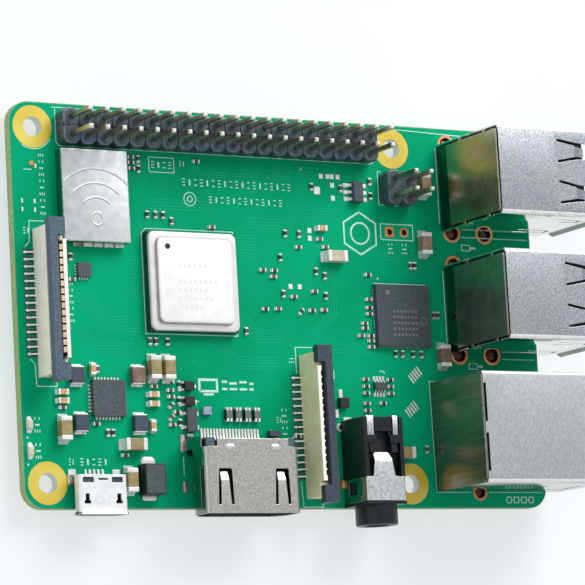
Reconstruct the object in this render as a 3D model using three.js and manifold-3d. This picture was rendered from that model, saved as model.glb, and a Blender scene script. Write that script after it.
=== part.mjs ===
// Credit-card-size single board computer, in millimetres, +Z up out of the component side.
// Everything is placed in board coordinates: x along the long edge, y along the short edge, both from
// one corner, and z from the component side. The whole board is then centred over its lowest point.
import * as THREE from "three";
import { mergeVertices } from "three/addons/utils/BufferGeometryUtils.js";
import Module from "manifold-3d";

// ---- driving dimensions ------------------------------------------------------------------------
const BOARD = { length: 85, width: 56, thickness: 1.4, cornerRadius: 3 };
const MOUNTING = { radius: 1.375, inset: 3.5, spanX: 58, spanY: 49, padRadius: 2.95, padHeight: 0.05 };
const TAIL_BOTTOM = -2.9; // every through-board tail ends at this height
const PITCH = 2.54;
const PIN = { side: 0.64, top: 8.5, taper: 0.45, tip: 0.3, holeRadius: 0.6, baseHeight: 2.54 };
const GPIO = { firstX: 8.37, midY: 52.5, columns: 20, rows: 2 };
const POE = { firstX: 60.35, midY: 46.4, columns: 2, rows: 2 };
const SHEET = 0.3; // wall of the larger connector shells
const USB = {
  centresY: [47, 29],
  rear: 69.5,
  socketRear: 77.3,
  lipStart: 86.2,
  front: 87.1,
  halfWidth: 6.55,
  bottom: 0.3,
  floor: 1.0,
  top: 16,
  portTops: [6.8, 15.7],
  flare: 0.5,
  flareHalf: 5.6,
  sideFlareZ: [3, 14.6],
  tabX: [71.2, 76.9],
  tabHalf: 0.6,
  tabHoleRadius: 1.15,
};
const USB_FINGER = { root: 79.7, tip: 85, slot: 0.4, slotEnds: [[4.6, 3.9], [1.45, 2.15]] };
const ETHERNET = {
  centreY: 10.25,
  rear: 65.7,
  front: 87.3,
  halfWidth: 7.95,
  bottom: 0.3,
  top: 13.4,
  cavityRear: 74.2,
  tabX: 73.3,
  tabHoleRadius: 0.9,
};
const PLUG_HOLE = { half: 5.95, z: [3, 10.6] };
const PLUG_LATCH_HOLE = { half: 3.2, z: [1.4, 3.5] };
const LAMP_HOLE = { near: 3.85, far: 6.95, z: [0.9, 2.75], clearance: 0.1 };
const HDMI = {
  centreX: 32,
  front: -1.2,
  rear: 8,
  halfWidth: 7.45,
  bottom: 0.5,
  top: 6,
  tabReach: 7.3,
  tabY: [3, 8.7],
  tabHoleRadius: 0.75,
  springX: [27.6, 36.6],
};
const RESET_PADS = { x: [60.4, 62.9], y: 40.15, holeRadius: 0.45 };
const MICRO_USB = { centreX: 10.55, front: -0.95, rear: 4.45, halfWidth: 3.65, bottom: 0.15, top: 2.55 };
const JACK = {
  centreX: 53.4,
  axisZ: 3.1,
  halfWidth: 3.25,
  barrelRadius: 3,
  boreRadius: 1.8,
  front: -2.8,
  rear: 12.3,
  top: 6.2,
  clipSheet: 0.22,
};
const FLEX = {
  halfLength: 10.2,
  width: 2.6,
  height: 3.9,
  wall: 0.45,
  wallTop: 5,
  wallHalf: 8.1,
  slotHalf: 7.9,
};
const LATCH = { halfLength: 11.1, top: 5.1, near: 1.25, far: 2.5, earLength: 2.4 };
const SOC = {
  centreX: 26.8,
  centreY: 31.5,
  side: 14,
  crownHalf: 5.8,
  hollowHalf: 5.3,
  dieHalf: 3.6,
  substrateTop: 1.1,
  brimTop: 1.65,
  top: 2.2,
  lidSheet: 0.4,
};
const SHIELD = { x: [6.8, 17], y: [36.5, 49.4], top: 1.9, wall: 0.2 };
const RAM_CHIP = { x: [21, 33], y: [25.5, 37.5], height: 0.9 };
const CARD_SLOT = { x: [1.6, 16.6], y: [21.9, 34.1], height: 1.4, wall: 0.2 };
const RADIO_CHIP = { x: [9.4, 14.4], y: [40.4, 45.4], top: 0.85 };

// ---- solids ------------------------------------------------------------------------------------
const wasm = await Module();
wasm.setup();

function toSolid(geometry) {
  const bare = geometry.index ? geometry.toNonIndexed() : geometry.clone();
  bare.deleteAttribute("normal");
  bare.deleteAttribute("uv");
  const merged = mergeVertices(bare, 1e-4);
  const vertProperties = merged.attributes.position.array;
  const triVerts = new Uint32Array(merged.index.array);
  return new wasm.Manifold(new wasm.Mesh({ numProp: 3, vertProperties, triVerts }));
}

function toGeometry(solid) {
  const mesh = solid.getMesh();
  const geometry = new THREE.BufferGeometry();
  geometry.setAttribute("position", new THREE.BufferAttribute(mesh.vertProperties, 3));
  geometry.setIndex(new THREE.BufferAttribute(mesh.triVerts, 1));
  geometry.computeVertexNormals();
  return geometry;
}

const join = (...geometries) =>
  geometries.map(toSolid).reduce((whole, next) => whole.add(next));

const cut = (base, ...geometries) =>
  geometries.map(toSolid).reduce((rest, tool) => rest.subtract(tool), base);

function box([x0, x1], [y0, y1], [z0, z1]) {
  const geometry = new THREE.BoxGeometry(x1 - x0, y1 - y0, z1 - z0);
  return geometry.translate((x0 + x1) / 2, (y0 + y1) / 2, (z0 + z1) / 2);
}

const around = (centre, half) => [centre - half, centre + half];

const shapeOf = (points) => new THREE.Shape(points.map(([x, y]) => new THREE.Vector2(x, y)));

function circle(x, y, radius, sides) {
  const points = [];
  for (let i = 0; i < sides; i += 1) {
    const angle = ((i + 0.5) / sides) * 2 * Math.PI;
    points.push(new THREE.Vector2(x + radius * Math.cos(angle), y + radius * Math.sin(angle)));
  }
  return points;
}

const extrude = (shape, depth) =>
  new THREE.ExtrudeGeometry(shape, { depth, bevelEnabled: false, curveSegments: 4 });

// A plan outline, raised from z0 to z1.
const alongZ = (shape, [z0, z1]) => extrude(shape, z1 - z0).translate(0, 0, z0);

// An outline in the x-z plane, carried from y0 to y1.
const alongY = (shape, [y0, y1]) =>
  extrude(shape, y1 - y0)
    .rotateX(Math.PI / 2)
    .translate(0, y1, 0);

// An outline in the y-z plane, carried from x0 to x1.
const alongX = (shape, [x0, x1]) => {
  const turn = new THREE.Matrix4().makeBasis(
    new THREE.Vector3(0, 1, 0),
    new THREE.Vector3(0, 0, 1),
    new THREE.Vector3(1, 0, 0),
  );
  return extrude(shape, x1 - x0)
    .applyMatrix4(turn)
    .translate(x0, 0, 0);
};

function roundedRectangle([x0, x1], [y0, y1], radius) {
  const shape = new THREE.Shape();
  shape.absarc(x1 - radius, y0 + radius, radius, -Math.PI / 2, 0);
  shape.absarc(x1 - radius, y1 - radius, radius, 0, Math.PI / 2);
  shape.absarc(x0 + radius, y1 - radius, radius, Math.PI / 2, Math.PI);
  shape.absarc(x0 + radius, y0 + radius, radius, Math.PI, (3 * Math.PI) / 2);
  shape.closePath();
  return shape;
}

// ---- the scene graph ---------------------------------------------------------------------------
const board = new THREE.Group();

const FINISHES = {
  mask: [0x0b8f5f, 0.45, 0],
  nickel: [0xb9bcbe, 0.3, 1],
  lidMetal: [0xe6e4e0, 0.4, 0.6],
  header: [0x23272c, 0.6, 0],
  blackPlastic: [0x17191b, 0.5, 0],
  beigePlastic: [0xc6c1a6, 0.55, 0],
  slatePlastic: [0x4a5568, 0.5, 0],
  chip: [0x44494f, 0.55, 0],
  capacitor: [0xa79468, 0.5, 0],
  ferrite: [0x4c545c, 0.5, 0],
  lightPipe: [0xe8f0e0, 0.25, 0],
  goldContact: [0xd9b85c, 0.3, 1],
  led: [0xe9efe6, 0.35, 0],
};

function add(name, solidOrGeometry, finish) {
  const geometry = solidOrGeometry.isBufferGeometry ? solidOrGeometry : toGeometry(solidOrGeometry);
  const [color, roughness, metalness] = FINISHES[finish];
  const mesh = new THREE.Mesh(
    geometry,
    new THREE.MeshStandardMaterial({ color, roughness, metalness }),
  );
  mesh.name = name;
  board.add(mesh);
}

// ---- pin headers -------------------------------------------------------------------------------
function pinPositions({ firstX, midY, columns, rows }) {
  const positions = [];
  for (let column = 0; column < columns; column += 1) {
    for (let row = 0; row < rows; row += 1) {
      positions.push([firstX + column * PITCH, midY + (row - (rows - 1) / 2) * PITCH]);
    }
  }
  return positions;
}

// A square pin with tapered ends: a four-sided turned profile.
function pin(x, y) {
  const corner = PIN.side / Math.SQRT2;
  const profile = [
    [0, TAIL_BOTTOM],
    [PIN.tip, TAIL_BOTTOM],
    [corner, TAIL_BOTTOM + PIN.taper],
    [corner, PIN.top - PIN.taper],
    [PIN.tip, PIN.top],
    [0, PIN.top],
  ].map(([radius, height]) => new THREE.Vector2(radius, height));
  return new THREE.LatheGeometry(profile, 4)
    .rotateY(Math.PI / 4)
    .rotateX(Math.PI / 2)
    .translate(x, y, 0);
}

// The moulded strip: one cell per column, with the corners between cells cut back.
function headerStrip({ firstX, midY, columns, rows }) {
  const chamfer = 0.45;
  const half = (rows * PITCH) / 2 - 0.04;
  const low = [];
  const high = [];
  for (let column = 0; column < columns; column += 1) {
    const left = firstX + (column - 0.5) * PITCH;
    const right = left + PITCH;
    low.push([left, midY - half + chamfer], [left + chamfer, midY - half]);
    low.push([right - chamfer, midY - half]);
    high.push([left, midY + half - chamfer], [left + chamfer, midY + half]);
    high.push([right - chamfer, midY + half]);
  }
  const end = firstX + (columns - 0.5) * PITCH;
  low.push([end, midY - half + chamfer]);
  high.push([end, midY + half - chamfer]);
  return alongZ(shapeOf([...low, ...high.reverse()]), [0, PIN.baseHeight]);
}

function header(name, layout) {
  const pins = pinPositions(layout).map(([x, y]) => pin(x, y));
  add(name, join(headerStrip(layout), ...pins), "header");
}

// ---- printed circuit board ---------------------------------------------------------------------
const hdmiTabs = [-1, 1].flatMap((side) =>
  HDMI.tabY.map((y) => [HDMI.centreX + side * HDMI.tabReach, y]),
);

function printedCircuitBoard() {
  const { length, width, thickness, cornerRadius } = BOARD;
  const { radius, inset, spanX, spanY, padRadius, padHeight } = MOUNTING;
  const shape = roundedRectangle([0, length], [0, width], cornerRadius);
  const drill = (x, y, holeRadius, sides) =>
    shape.holes.push(new THREE.Path(circle(x, y, holeRadius, sides)));
  const pads = [];
  for (const x of [inset, inset + spanX]) {
    for (const y of [inset, inset + spanY]) {
      drill(x, y, radius, 24);
      const pad = new THREE.Shape(circle(x, y, padRadius, 24));
      pad.holes.push(new THREE.Path(circle(x, y, radius, 24)));
      pads.push(alongZ(pad, [-thickness - padHeight, -thickness + padHeight]));
    }
  }
  for (const [x, y] of [...pinPositions(GPIO), ...pinPositions(POE)]) {
    drill(x, y, PIN.holeRadius, 6);
  }
  for (const x of USB.tabX) {
    for (const centreY of USB.centresY) {
      drill(x, centreY - USB.halfWidth, USB.tabHoleRadius, 12);
      drill(x, centreY + USB.halfWidth, USB.tabHoleRadius, 12);
    }
  }
  for (const side of [-1, 1]) {
    drill(ETHERNET.tabX, ETHERNET.centreY + side * ETHERNET.halfWidth, ETHERNET.tabHoleRadius, 12);
  }
  hdmiTabs.forEach(([x, y]) => drill(x, y, HDMI.tabHoleRadius, 8));
  RESET_PADS.x.forEach((x) => drill(x, RESET_PADS.y, RESET_PADS.holeRadius, 8));
  add("pcb", join(alongZ(shape, [-thickness, 0]), ...pads), "mask");
}

// ---- processor: carrier, die and pressed metal lid ---------------------------------------------
function processor() {
  const { centreX, centreY, side, crownHalf, hollowHalf, dieHalf } = SOC;
  const { substrateTop, brimTop, top, lidSheet } = SOC;
  const square = (half) => [around(centreX, half), around(centreY, half)];
  const half = side / 2;
  add("soc_substrate", box(...square(half), [0, substrateTop]), "chip");
  add("soc_die", box(...square(dieHalf), [substrateTop, brimTop]), "ferrite");
  const brim = alongZ(roundedRectangle(...square(half - 0.05), 0.9), [substrateTop, brimTop]);
  const crown = alongZ(roundedRectangle(...square(crownHalf), 0.7), [substrateTop, top]);
  const hollow = box(...square(hollowHalf), [0, top - lidSheet]);
  add("soc_lid", cut(join(brim, crown), hollow), "lidMetal");
}

// ---- radio module ------------------------------------------------------------------------------
function radio() {
  const { x, y, top, wall } = SHIELD;
  const inner = (range) => [range[0] + wall, range[1] - wall];
  const can = toSolid(box(x, y, [0, top]));
  add("radio_shield", cut(can, box(inner(x), inner(y), [-1, top - wall])), "lidMetal");
  add("radio_chip", box(RADIO_CHIP.x, RADIO_CHIP.y, [0, RADIO_CHIP.top]), "chip");
}

// ---- stacked USB sockets -----------------------------------------------------------------------
function usbShell(centreY) {
  const { rear, socketRear, lipStart, front, halfWidth, bottom, floor, top } = USB;
  const { flare, flareHalf, sideFlareZ, tabX, tabHalf } = USB;
  const inside = halfWidth - SHEET;
  const innerTop = top - SHEET;
  const sleeve = [];
  for (const side of [-1, 1]) {
    const wallY = [centreY + side * inside, centreY + side * halfWidth].sort((a, b) => a - b);
    sleeve.push(box([rear, lipStart], wallY, [bottom, top]));
    for (const x of tabX) {
      sleeve.push(box(around(x, tabHalf), wallY, [TAIL_BOTTOM, bottom + SHEET]));
    }
    const lip = [
      [lipStart - 0.3, centreY + side * inside],
      [lipStart, centreY + side * inside],
      [front, centreY + side * (inside + flare)],
      [front, centreY + side * (halfWidth + flare)],
      [lipStart - 0.3, centreY + side * halfWidth],
    ];
    sleeve.push(alongZ(shapeOf(side > 0 ? lip : lip.reverse()), sideFlareZ));
  }
  const across = (half) => around(centreY, half);
  sleeve.push(box([rear, lipStart], across(inside + 0.1), [innerTop, top]));
  sleeve.push(box([socketRear, lipStart], across(inside + 0.1), [floor, floor + SHEET]));
  const topLip = [
    [lipStart - 0.3, innerTop],
    [lipStart, innerTop],
    [front, innerTop + flare],
    [front, top + flare],
    [lipStart - 0.3, top],
  ];
  const bottomLip = [
    [lipStart - 0.3, floor],
    [front, floor - flare],
    [front, floor - flare + SHEET],
    [lipStart, floor + SHEET],
    [lipStart - 0.3, floor + SHEET],
  ];
  sleeve.push(alongY(shapeOf(topLip), across(flareHalf)));
  sleeve.push(alongY(shapeOf(bottomLip), across(flareHalf)));
  return cut(join(...sleeve), ...springSlots(centreY));
}

// Each spring finger in the roof is cut free along two converging slots and across its tip.
function springSlots(centreY) {
  const { root, tip, slot, slotEnds } = USB_FINGER;
  const through = [USB.top - 0.5, USB.top + 0.4];
  const slots = [];
  for (const side of [-1, 1]) {
    for (const [rootY, tipY] of slotEnds) {
      const outline = [
        [root, side * rootY - slot / 2],
        [tip, side * tipY - slot / 2],
        [tip, side * tipY + slot / 2],
        [root, side * rootY + slot / 2],
      ].map(([x, y]) => [x, centreY + y]);
      slots.push(alongZ(shapeOf(outline), through));
    }
    const gap = [centreY + side * 1.95, centreY + side * 4.1].sort((a, b) => a - b);
    slots.push(box([tip - 0.2, tip + 0.25], gap, through));
  }
  return slots;
}

function usbStack(number, centreY) {
  const { rear, socketRear, portTops } = USB;
  const name = (piece) => `usb_${number}_${piece}`;
  const across = (half) => around(centreY, half);
  add(name("shell"), usbShell(centreY), "nickel");
  const body = box([rear, socketRear - 0.2], across(6.15), [0, 15.6]);
  const tongues = portTops.map((top) => box([76, 85], across(5.6), [top - 2.9, top - 1.1]));
  add(name("housing"), join(body, ...tongues), "blackPlastic");
  const divider = [portTops[0], portTops[0] + 2.6];
  const webs = [[divider[0], divider[0] + SHEET], [divider[1] - SHEET, divider[1]]];
  const face = box([85.8, 86.1], across(6.1), divider);
  add(
    name("divider"),
    join(face, ...webs.map((z) => box([socketRear, 86], across(6.1), z))),
    "nickel",
  );
  add(name("rear_cover"), box([rear - 0.45, rear - 0.15], across(6.35), [3.1, 15.9]), "nickel");
}

// ---- network socket ----------------------------------------------------------------------------
function networkSocket() {
  const { centreY, rear, front, halfWidth, bottom, top, cavityRear, tabX } = ETHERNET;
  const across = (half) => around(centreY, half);
  const inside = halfWidth - SHEET;
  const sidePair = (near, far) =>
    [-1, 1].map((side) => [centreY + side * near, centreY + side * far].sort((a, b) => a - b));
  const walls = [
    box([rear, front], across(halfWidth), [bottom, top]),
    ...sidePair(inside, halfWidth).map((y) => box(around(tabX, 0.55), y, [TAIL_BOTTOM, 1])),
  ];
  const hollow = box([rear + SHEET, front - SHEET], across(inside), [-1, top - SHEET]);
  const plugFrom = (x) => box([x, front + 1], across(PLUG_HOLE.half), PLUG_HOLE.z);
  const latchFrom = (x) => box([x, front + 1], across(PLUG_LATCH_HOLE.half), PLUG_LATCH_HOLE.z);
  const lampHolesFrom = (x) =>
    sidePair(LAMP_HOLE.near, LAMP_HOLE.far).map((y) => box([x, front + 1], y, LAMP_HOLE.z));
  const openings = [plugFrom(front - 1), latchFrom(front - 1), ...lampHolesFrom(front - 1)];
  const seams = [[3.9, 9.3], [10.95, 16.4]].map((y) => box([rear + 0.3, rear + 0.7], y, [12, 14]));
  add(
    "ethernet_shell",
    cut(join(...walls), hollow, ...openings, ...seams),
    "nickel",
  );

  const blockFront = front - SHEET - 0.1;
  const block = toSolid(box([rear + 0.4, blockFront], across(inside - 0.1), [0, top - 0.4]));
  const cavities = [plugFrom(cavityRear), latchFrom(78), ...lampHolesFrom(80)];
  const pocket = box([rear - 1, cavityRear - 0.6], across(7), [3, 12.4]);
  add(
    "ethernet_housing",
    cut(block, ...cavities, pocket),
    "blackPlastic",
  );
  add("ethernet_magnetics", box([rear + 0.5, cavityRear - 0.8], across(6.8), [3.1, 12.2]), "chip");

  const wires = [];
  for (let i = 0; i < 8; i += 1) {
    const wire = new THREE.BoxGeometry(8, 0.4, 0.3)
      .rotateY(-0.22)
      .translate(80.4, centreY + (i - 3.5) * 1.02, 9.2);
    wires.push(wire);
  }
  const carrier = box([cavityRear + 0.3, front - 2.6], across(4.7), [9.8, 10.4]);
  add("ethernet_contacts", join(carrier, ...wires), "goldContact");
  const { near, far, clearance } = LAMP_HOLE;
  const lamps = sidePair(near + clearance, far - clearance);
  const lampZ = [LAMP_HOLE.z[0] + clearance, LAMP_HOLE.z[1] - clearance];
  ["ethernet_lamp_low", "ethernet_lamp_high"].forEach((name, i) => {
    add(name, box([80.2, front], lamps[i], lampZ), "lightPipe");
  });
}

// ---- video socket ------------------------------------------------------------------------------
// The flared D profile of the socket, as half-width steps mirrored about the centre.
function dProfile(centreX, halfWidth, bottom, top, { taper, foot, round }) {
  const right = [
    [halfWidth - foot, bottom],
    [halfWidth, bottom + taper],
    [halfWidth, top - round],
    [halfWidth - round, top],
  ];
  const left = right.map(([x, z]) => [-x, z]).reverse();
  return shapeOf([...right, ...left].map(([x, z]) => [centreX + x, z]));
}

function videoSocket() {
  const { centreX, front, rear, halfWidth, bottom, top } = HDMI;
  const outerForm = { taper: 1.8, foot: 1.5, round: 0.4 };
  const innerForm = { taper: 1.7, foot: 1.45, round: 0.25 };
  const outer = dProfile(centreX, halfWidth, bottom, top, outerForm);
  const inner = dProfile(
    centreX, halfWidth - SHEET, bottom + SHEET, top - SHEET, innerForm,
  );
  const tabs = hdmiTabs.flatMap(([x, y]) => [
    box(around(x, 0.15), around(y, 0.5), [TAIL_BOTTOM, 3]),
    box(around(x, 0.15), y > 5 ? [7, 9.4] : around(y, 0.8), [0.2, 3.4]),
  ]);
  const roof = box([centreX - 5.4, centreX + 5.9], [rear - 0.5, 9.1], [top - SHEET, top]);
  const springs = HDMI.springX.map((x) => {
    const outline = [
      [x - 1.2, 0], [x - 0.95, 4.95], [x + 1.1, 4.95], [x + 1.25, 0],
      [x + 0.8, 0], [x + 0.45, 4.55], [x - 0.6, 4.55], [x - 0.8, 0],
    ];
    return alongZ(shapeOf(outline), [top - 1, top + 1]);
  });
  const tube = toSolid(alongY(outer, [front, rear]));
  const hollowed = cut(tube, alongY(inner, [front - 1, rear + 1]));
  add("hdmi_shell", cut(hollowed.add(join(roof, ...tabs)), ...springs), "nickel");

  const plug = dProfile(
    centreX, halfWidth - SHEET - 0.1, bottom + SHEET + 0.1, top - SHEET - 0.1, innerForm,
  );
  const block = alongY(plug, [5.6, rear + 0.3]);
  const heel = box(around(centreX, 6.8), [rear + 0.1, 9.4], [0, top - SHEET - 0.1]);
  const tongue = box(around(centreX, 6), [-0.2, 5.8], [2.8, 4.1]);
  add("hdmi_insulator", join(block, heel, tongue), "blackPlastic");
}

// ---- power socket ------------------------------------------------------------------------------
function powerSocket() {
  const { centreX, front, rear, halfWidth, bottom, top } = MICRO_USB;
  const wall = 0.25;
  const form = { taper: 0.9, foot: 0.9, round: 0.25 };
  const outer = alongY(dProfile(centreX, halfWidth, bottom, top, form), [front, rear]);
  const inner = dProfile(centreX, halfWidth - wall, bottom + wall, top - wall, form);
  const windows = [-2.35, 2.35].flatMap((x) => [
    box(around(centreX + x, 0.3), [0.9, 1.85], [top - 1, top + 1]),
    box(around(centreX + x, 0.52), [0.45, 1], [top - 1, top + 1]),
    box(around(centreX + x * 0.92, 0.85), [3.35, 4.1], [top - 1, top + 1]),
  ]);
  const lip = dProfile(centreX, halfWidth + 0.2, bottom - 0.2, top + 0.15, form);
  const sleeve = toSolid(outer).add(toSolid(alongY(lip, [front - 0.05, front + 0.35])));
  const feet = [-1, 1].map((side) => {
    const reach = [centreX + side * 3.5, centreX + side * 4.2].sort((a, b) => a - b);
    return box(reach, [3.4, 4.4], [0, 1.5]);
  });
  add(
    "micro_usb_shell",
    cut(sleeve.add(join(...feet)), alongY(inner, [front - 1, rear + 1]), ...windows),
    "nickel",
  );
  const block = box(around(centreX, 2.6), [2.3, rear - 0.1], [bottom + wall + 0.05, top - wall - 0.05]);
  const tongue = box(around(centreX, 1.9), [-0.2, 2.5], [1.25, 1.75]);
  add("micro_usb_insulator", join(block, tongue), "blackPlastic");
}

// ---- audio jack --------------------------------------------------------------------------------
function audioJack() {
  const { centreX, axisZ, halfWidth, barrelRadius, boreRadius, front, rear, top } = JACK;
  const cylinder = (radius, [y0, y1], sides) =>
    alongY(new THREE.Shape(circle(centreX, axisZ, radius, sides)), [y0, y1]);
  const gap = 0.3;
  const nose = box(around(centreX, halfWidth - gap), [0.35, 4.1], [0, top - gap]);
  const flange = box(around(centreX, halfWidth), [0, 0.4], [0, top]);
  const body = box(around(centreX, halfWidth), [4, rear], [0, top]);
  const pocketFor = (x) => box([x[0] - 0.05, x[1] + 0.05], [9.6, 13], [5.75, top + 1]);
  const contacts = [[50.7, 51.9], [55, 55.9]];
  const solid = cut(
    join(nose, flange, body, cylinder(barrelRadius, [front, 0.3], 24)),
    cylinder(boreRadius, [front - 1, 11.2], 16),
    box(around(centreX, 1.05), [6.5, 10.3], [axisZ, top + 1]),
    box(around(centreX, 2.6), [3.9, 8.6], [5.05, top + 1]),
    ...contacts.map(pocketFor),
  );
  add("jack_housing", solid, "blackPlastic");

  const sheet = JACK.clipSheet;
  const bracket = cut(
    toSolid(box(around(centreX, halfWidth), [0.5, 3.9], [0, top])),
    box(around(centreX, halfWidth - sheet), [0, 5], [-1, top - sheet]),
  );
  const bent = alongX(
    shapeOf([
      [3.8, top - sheet], [5.95, top - sheet], [7.05, 5.2],
      [7.2, 5.4], [6.05, top], [3.8, top],
    ]),
    around(centreX, 2.3),
  );
  const plan = shapeOf([
    [centreX - 2.1, 3.7], [centreX + 1.9, 3.7], [centreX + 1.25, 7.3], [centreX - 1.65, 7.3],
  ]);
  const spring = toSolid(bent).intersect(toSolid(alongZ(plan, [4, 7])));
  add("jack_clip", bracket.add(spring), "nickel");
  ["jack_contact_left", "jack_contact_right"].forEach((name, i) => {
    const strip = box(contacts[i], [9.7, 12.6], [5.85, top]);
    const leg = box(contacts[i], [12.38, 12.6], [0, top]);
    add(name, join(strip, leg), "nickel");
  });
}

// ---- flat cable connectors ---------------------------------------------------------------------
// u runs across the connector from its tall wall, towards facing (+1 or -1 in x); v runs along it.
function flatCableConnector(name, wallX, centreY, facing) {
  const { halfLength, width, height, wall, wallTop, wallHalf, slotHalf } = FLEX;
  const { top, near, far, earLength } = LATCH;
  const gap = 0.1;
  const block = (u, v, z) => {
    const x = u.map((value) => wallX + facing * value).sort((a, b) => a - b);
    return box(x, v.map((value) => centreY + value), z);
  };
  const base = block([0, width], [-halfLength, halfLength], [0, height]);
  const tallWall = block([0, wall], [-wallHalf, wallHalf], [height - 0.5, wallTop]);
  const slot = block([wall, 1.9], [-slotHalf, slotHalf], [1.2, wallTop + 1]);
  add(`${name}_connector`, cut(join(base, tallWall), slot), "beigePlastic");

  const rest = height + gap;
  const pieces = [
    block([near, far], [-LATCH.halfLength, LATCH.halfLength], [rest, top]),
    block([near + 0.05, 1.8], [-slotHalf + gap, slotHalf - gap], [1.6, rest + 0.1]),
  ];
  for (const end of [-1, 1]) {
    const ear = [end * LATCH.halfLength, end * (LATCH.halfLength - earLength)].sort((a, b) => a - b);
    const hook = [end * (halfLength + gap), end * LATCH.halfLength].sort((a, b) => a - b);
    pieces.push(block([0.1, far], ear, [rest, top]));
    pieces.push(block([0.9, 1.9], hook, [2.4, rest + 0.1]));
  }
  add(`${name}_latch`, join(...pieces), "slatePlastic");
}

// ---- small parts that lie on the board ---------------------------------------------------------
function block(name, [x, y], [lengthX, lengthY, height], finish) {
  add(name, box(around(x, lengthX / 2), around(y, lengthY / 2), [0, height]), finish);
}

function smallParts() {
  block("lan_chip", [61.45, 27.8], [9, 9, 0.9], "chip");
  block("power_manager", [13.1, 15.1], [5, 5, 0.85], "chip");
  block("clock_chip", [10.3, 32.8], [2, 2, 0.6], "chip");
  block("usb_switch", [57, 17.5], [1.9, 1.05, 0.75], "chip");
  block("header_switch", [54.9, 45.7], [1.5, 2.9, 1.1], "chip");
  block("power_diode", [18.9, 3.9], [3.1, 4.2, 2.2], "chip");
  const inductors = [[8.4, 18.2], [17.75, 18.35], [8.7, 11.7], [17.75, 11.7]];
  inductors.forEach((place, i) => block(`inductor_${i + 1}`, place, [2, 2.5, 1], "ferrite"));
  const upright = [1.65, 3.25, 1.6];
  const sideways = [3.25, 1.65, 1.6];
  const capacitors = [
    [[20.2, 19.4], upright],
    [[22.4, 19.4], upright],
    [[6.05, 10.85], upright],
    [[16.6, 8.75], sideways],
    [[15.75, 3.85], upright],
    [[50.55, 36.05], sideways],
    [[65.9, 38.5], upright],
    [[68, 22.05], upright],
    [[60.1, 7.9], sideways],
    [[66.4, 47.2], upright],
  ];
  capacitors.forEach(([place, size], i) => {
    block(`bulk_capacitor_${i + 1}`, place, size, "capacitor");
  });
  block("activity_led", [1.05, 11.4], [0.8, 1.6, 0.6], "led");
  block("power_led", [1.05, 7.85], [0.8, 1.6, 0.6], "led");
}

// ---- underside ---------------------------------------------------------------------------------
function underside() {
  const under = -BOARD.thickness;
  add("ram_chip", box(RAM_CHIP.x, RAM_CHIP.y, [under - RAM_CHIP.height, under]), "chip");
  const { x, y, height, wall } = CARD_SLOT;
  const shellBottom = under - height;
  const inside = (gap) => [y[0] + gap, y[1] - gap];
  const cage = toSolid(box(x, y, [shellBottom, under]));
  const cardRoom = box([0, x[1] - wall], inside(wall), [shellBottom + wall, 0]);
  add("card_slot_shell", cut(cage, cardRoom), "nickel");
  const base = box([x[0] + 0.4, x[1] - 0.3], inside(0.3), [under - 0.25, under]);
  add("card_slot_base", base, "blackPlastic");
}

// ---- assembly ----------------------------------------------------------------------------------
printedCircuitBoard();
header("gpio_header", GPIO);
header("poe_header", POE);
processor();
radio();
USB.centresY.forEach((centreY, i) => usbStack(i + 1, centreY));
networkSocket();
videoSocket();
powerSocket();
audioJack();
flatCableConnector("display", 5.4, 28, -1);
flatCableConnector("camera", 43.9, 11.5, 1);
smallParts();
underside();

const extent = new THREE.Box3().setFromObject(board);
const middle = extent.getCenter(new THREE.Vector3());
board.position.set(-middle.x, -middle.y, -extent.min.z);

const computer = new THREE.Group();
computer.add(board);
export default computer;
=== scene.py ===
import math
import random

import bmesh
import bpy
from mathutils import Matrix, Vector


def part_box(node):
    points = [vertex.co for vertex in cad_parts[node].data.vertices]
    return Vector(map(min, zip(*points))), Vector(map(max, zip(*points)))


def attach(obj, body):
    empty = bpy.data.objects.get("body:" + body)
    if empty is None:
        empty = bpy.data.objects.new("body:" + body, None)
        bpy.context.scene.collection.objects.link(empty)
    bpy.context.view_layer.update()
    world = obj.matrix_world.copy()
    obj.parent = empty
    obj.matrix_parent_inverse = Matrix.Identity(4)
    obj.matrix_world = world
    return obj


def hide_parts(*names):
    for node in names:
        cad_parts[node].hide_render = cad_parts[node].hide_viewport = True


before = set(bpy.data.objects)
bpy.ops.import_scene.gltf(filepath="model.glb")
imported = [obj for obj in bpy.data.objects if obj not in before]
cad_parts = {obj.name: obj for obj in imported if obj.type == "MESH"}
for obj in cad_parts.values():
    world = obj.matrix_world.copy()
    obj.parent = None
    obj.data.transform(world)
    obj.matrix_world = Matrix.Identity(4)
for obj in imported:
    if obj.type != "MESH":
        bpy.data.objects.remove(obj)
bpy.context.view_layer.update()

# ---- the board's own frame: millimetres from one corner, z from the component side ----
MM = 0.001
PCB_LOW, PCB_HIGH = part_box("pcb")
CORNER = Vector((PCB_LOW.x, PCB_LOW.y, PCB_HIGH.z))
BOARD_X = (PCB_HIGH.x - PCB_LOW.x) / MM
BOARD_Y = (PCB_HIGH.y - PCB_LOW.y) / MM
THICK = (PCB_HIGH.z - PCB_LOW.z) / MM
TAIL = (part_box("gpio_header")[0].z - CORNER.z) / MM  # the lowest end of a soldered tail
PITCH = 2.54
SHARP = math.radians(38)  # a turn between faces that counts as an edge


def span(node):
    """A CAD node's box as ((x0, x1), (y0, y1), (z0, z1)), in board millimetres."""
    low, high = (((corner - CORNER) / MM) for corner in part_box(node))
    return tuple(zip(low, high))


def middle(pair):
    return (pair[0] + pair[1]) / 2


def ends(pair):
    """Both ends of a stretch, each with its outward direction."""
    return ((pair[0], -1), (pair[1], 1))


# ---- looks ----
def linear(code):
    channels = [int(code[i:i + 2], 16) / 255 for i in (0, 2, 4)]
    return tuple(c / 12.92 if c < 0.04045 else ((c + 0.055) / 1.055) ** 2.4 for c in channels) + (1,)


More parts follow.
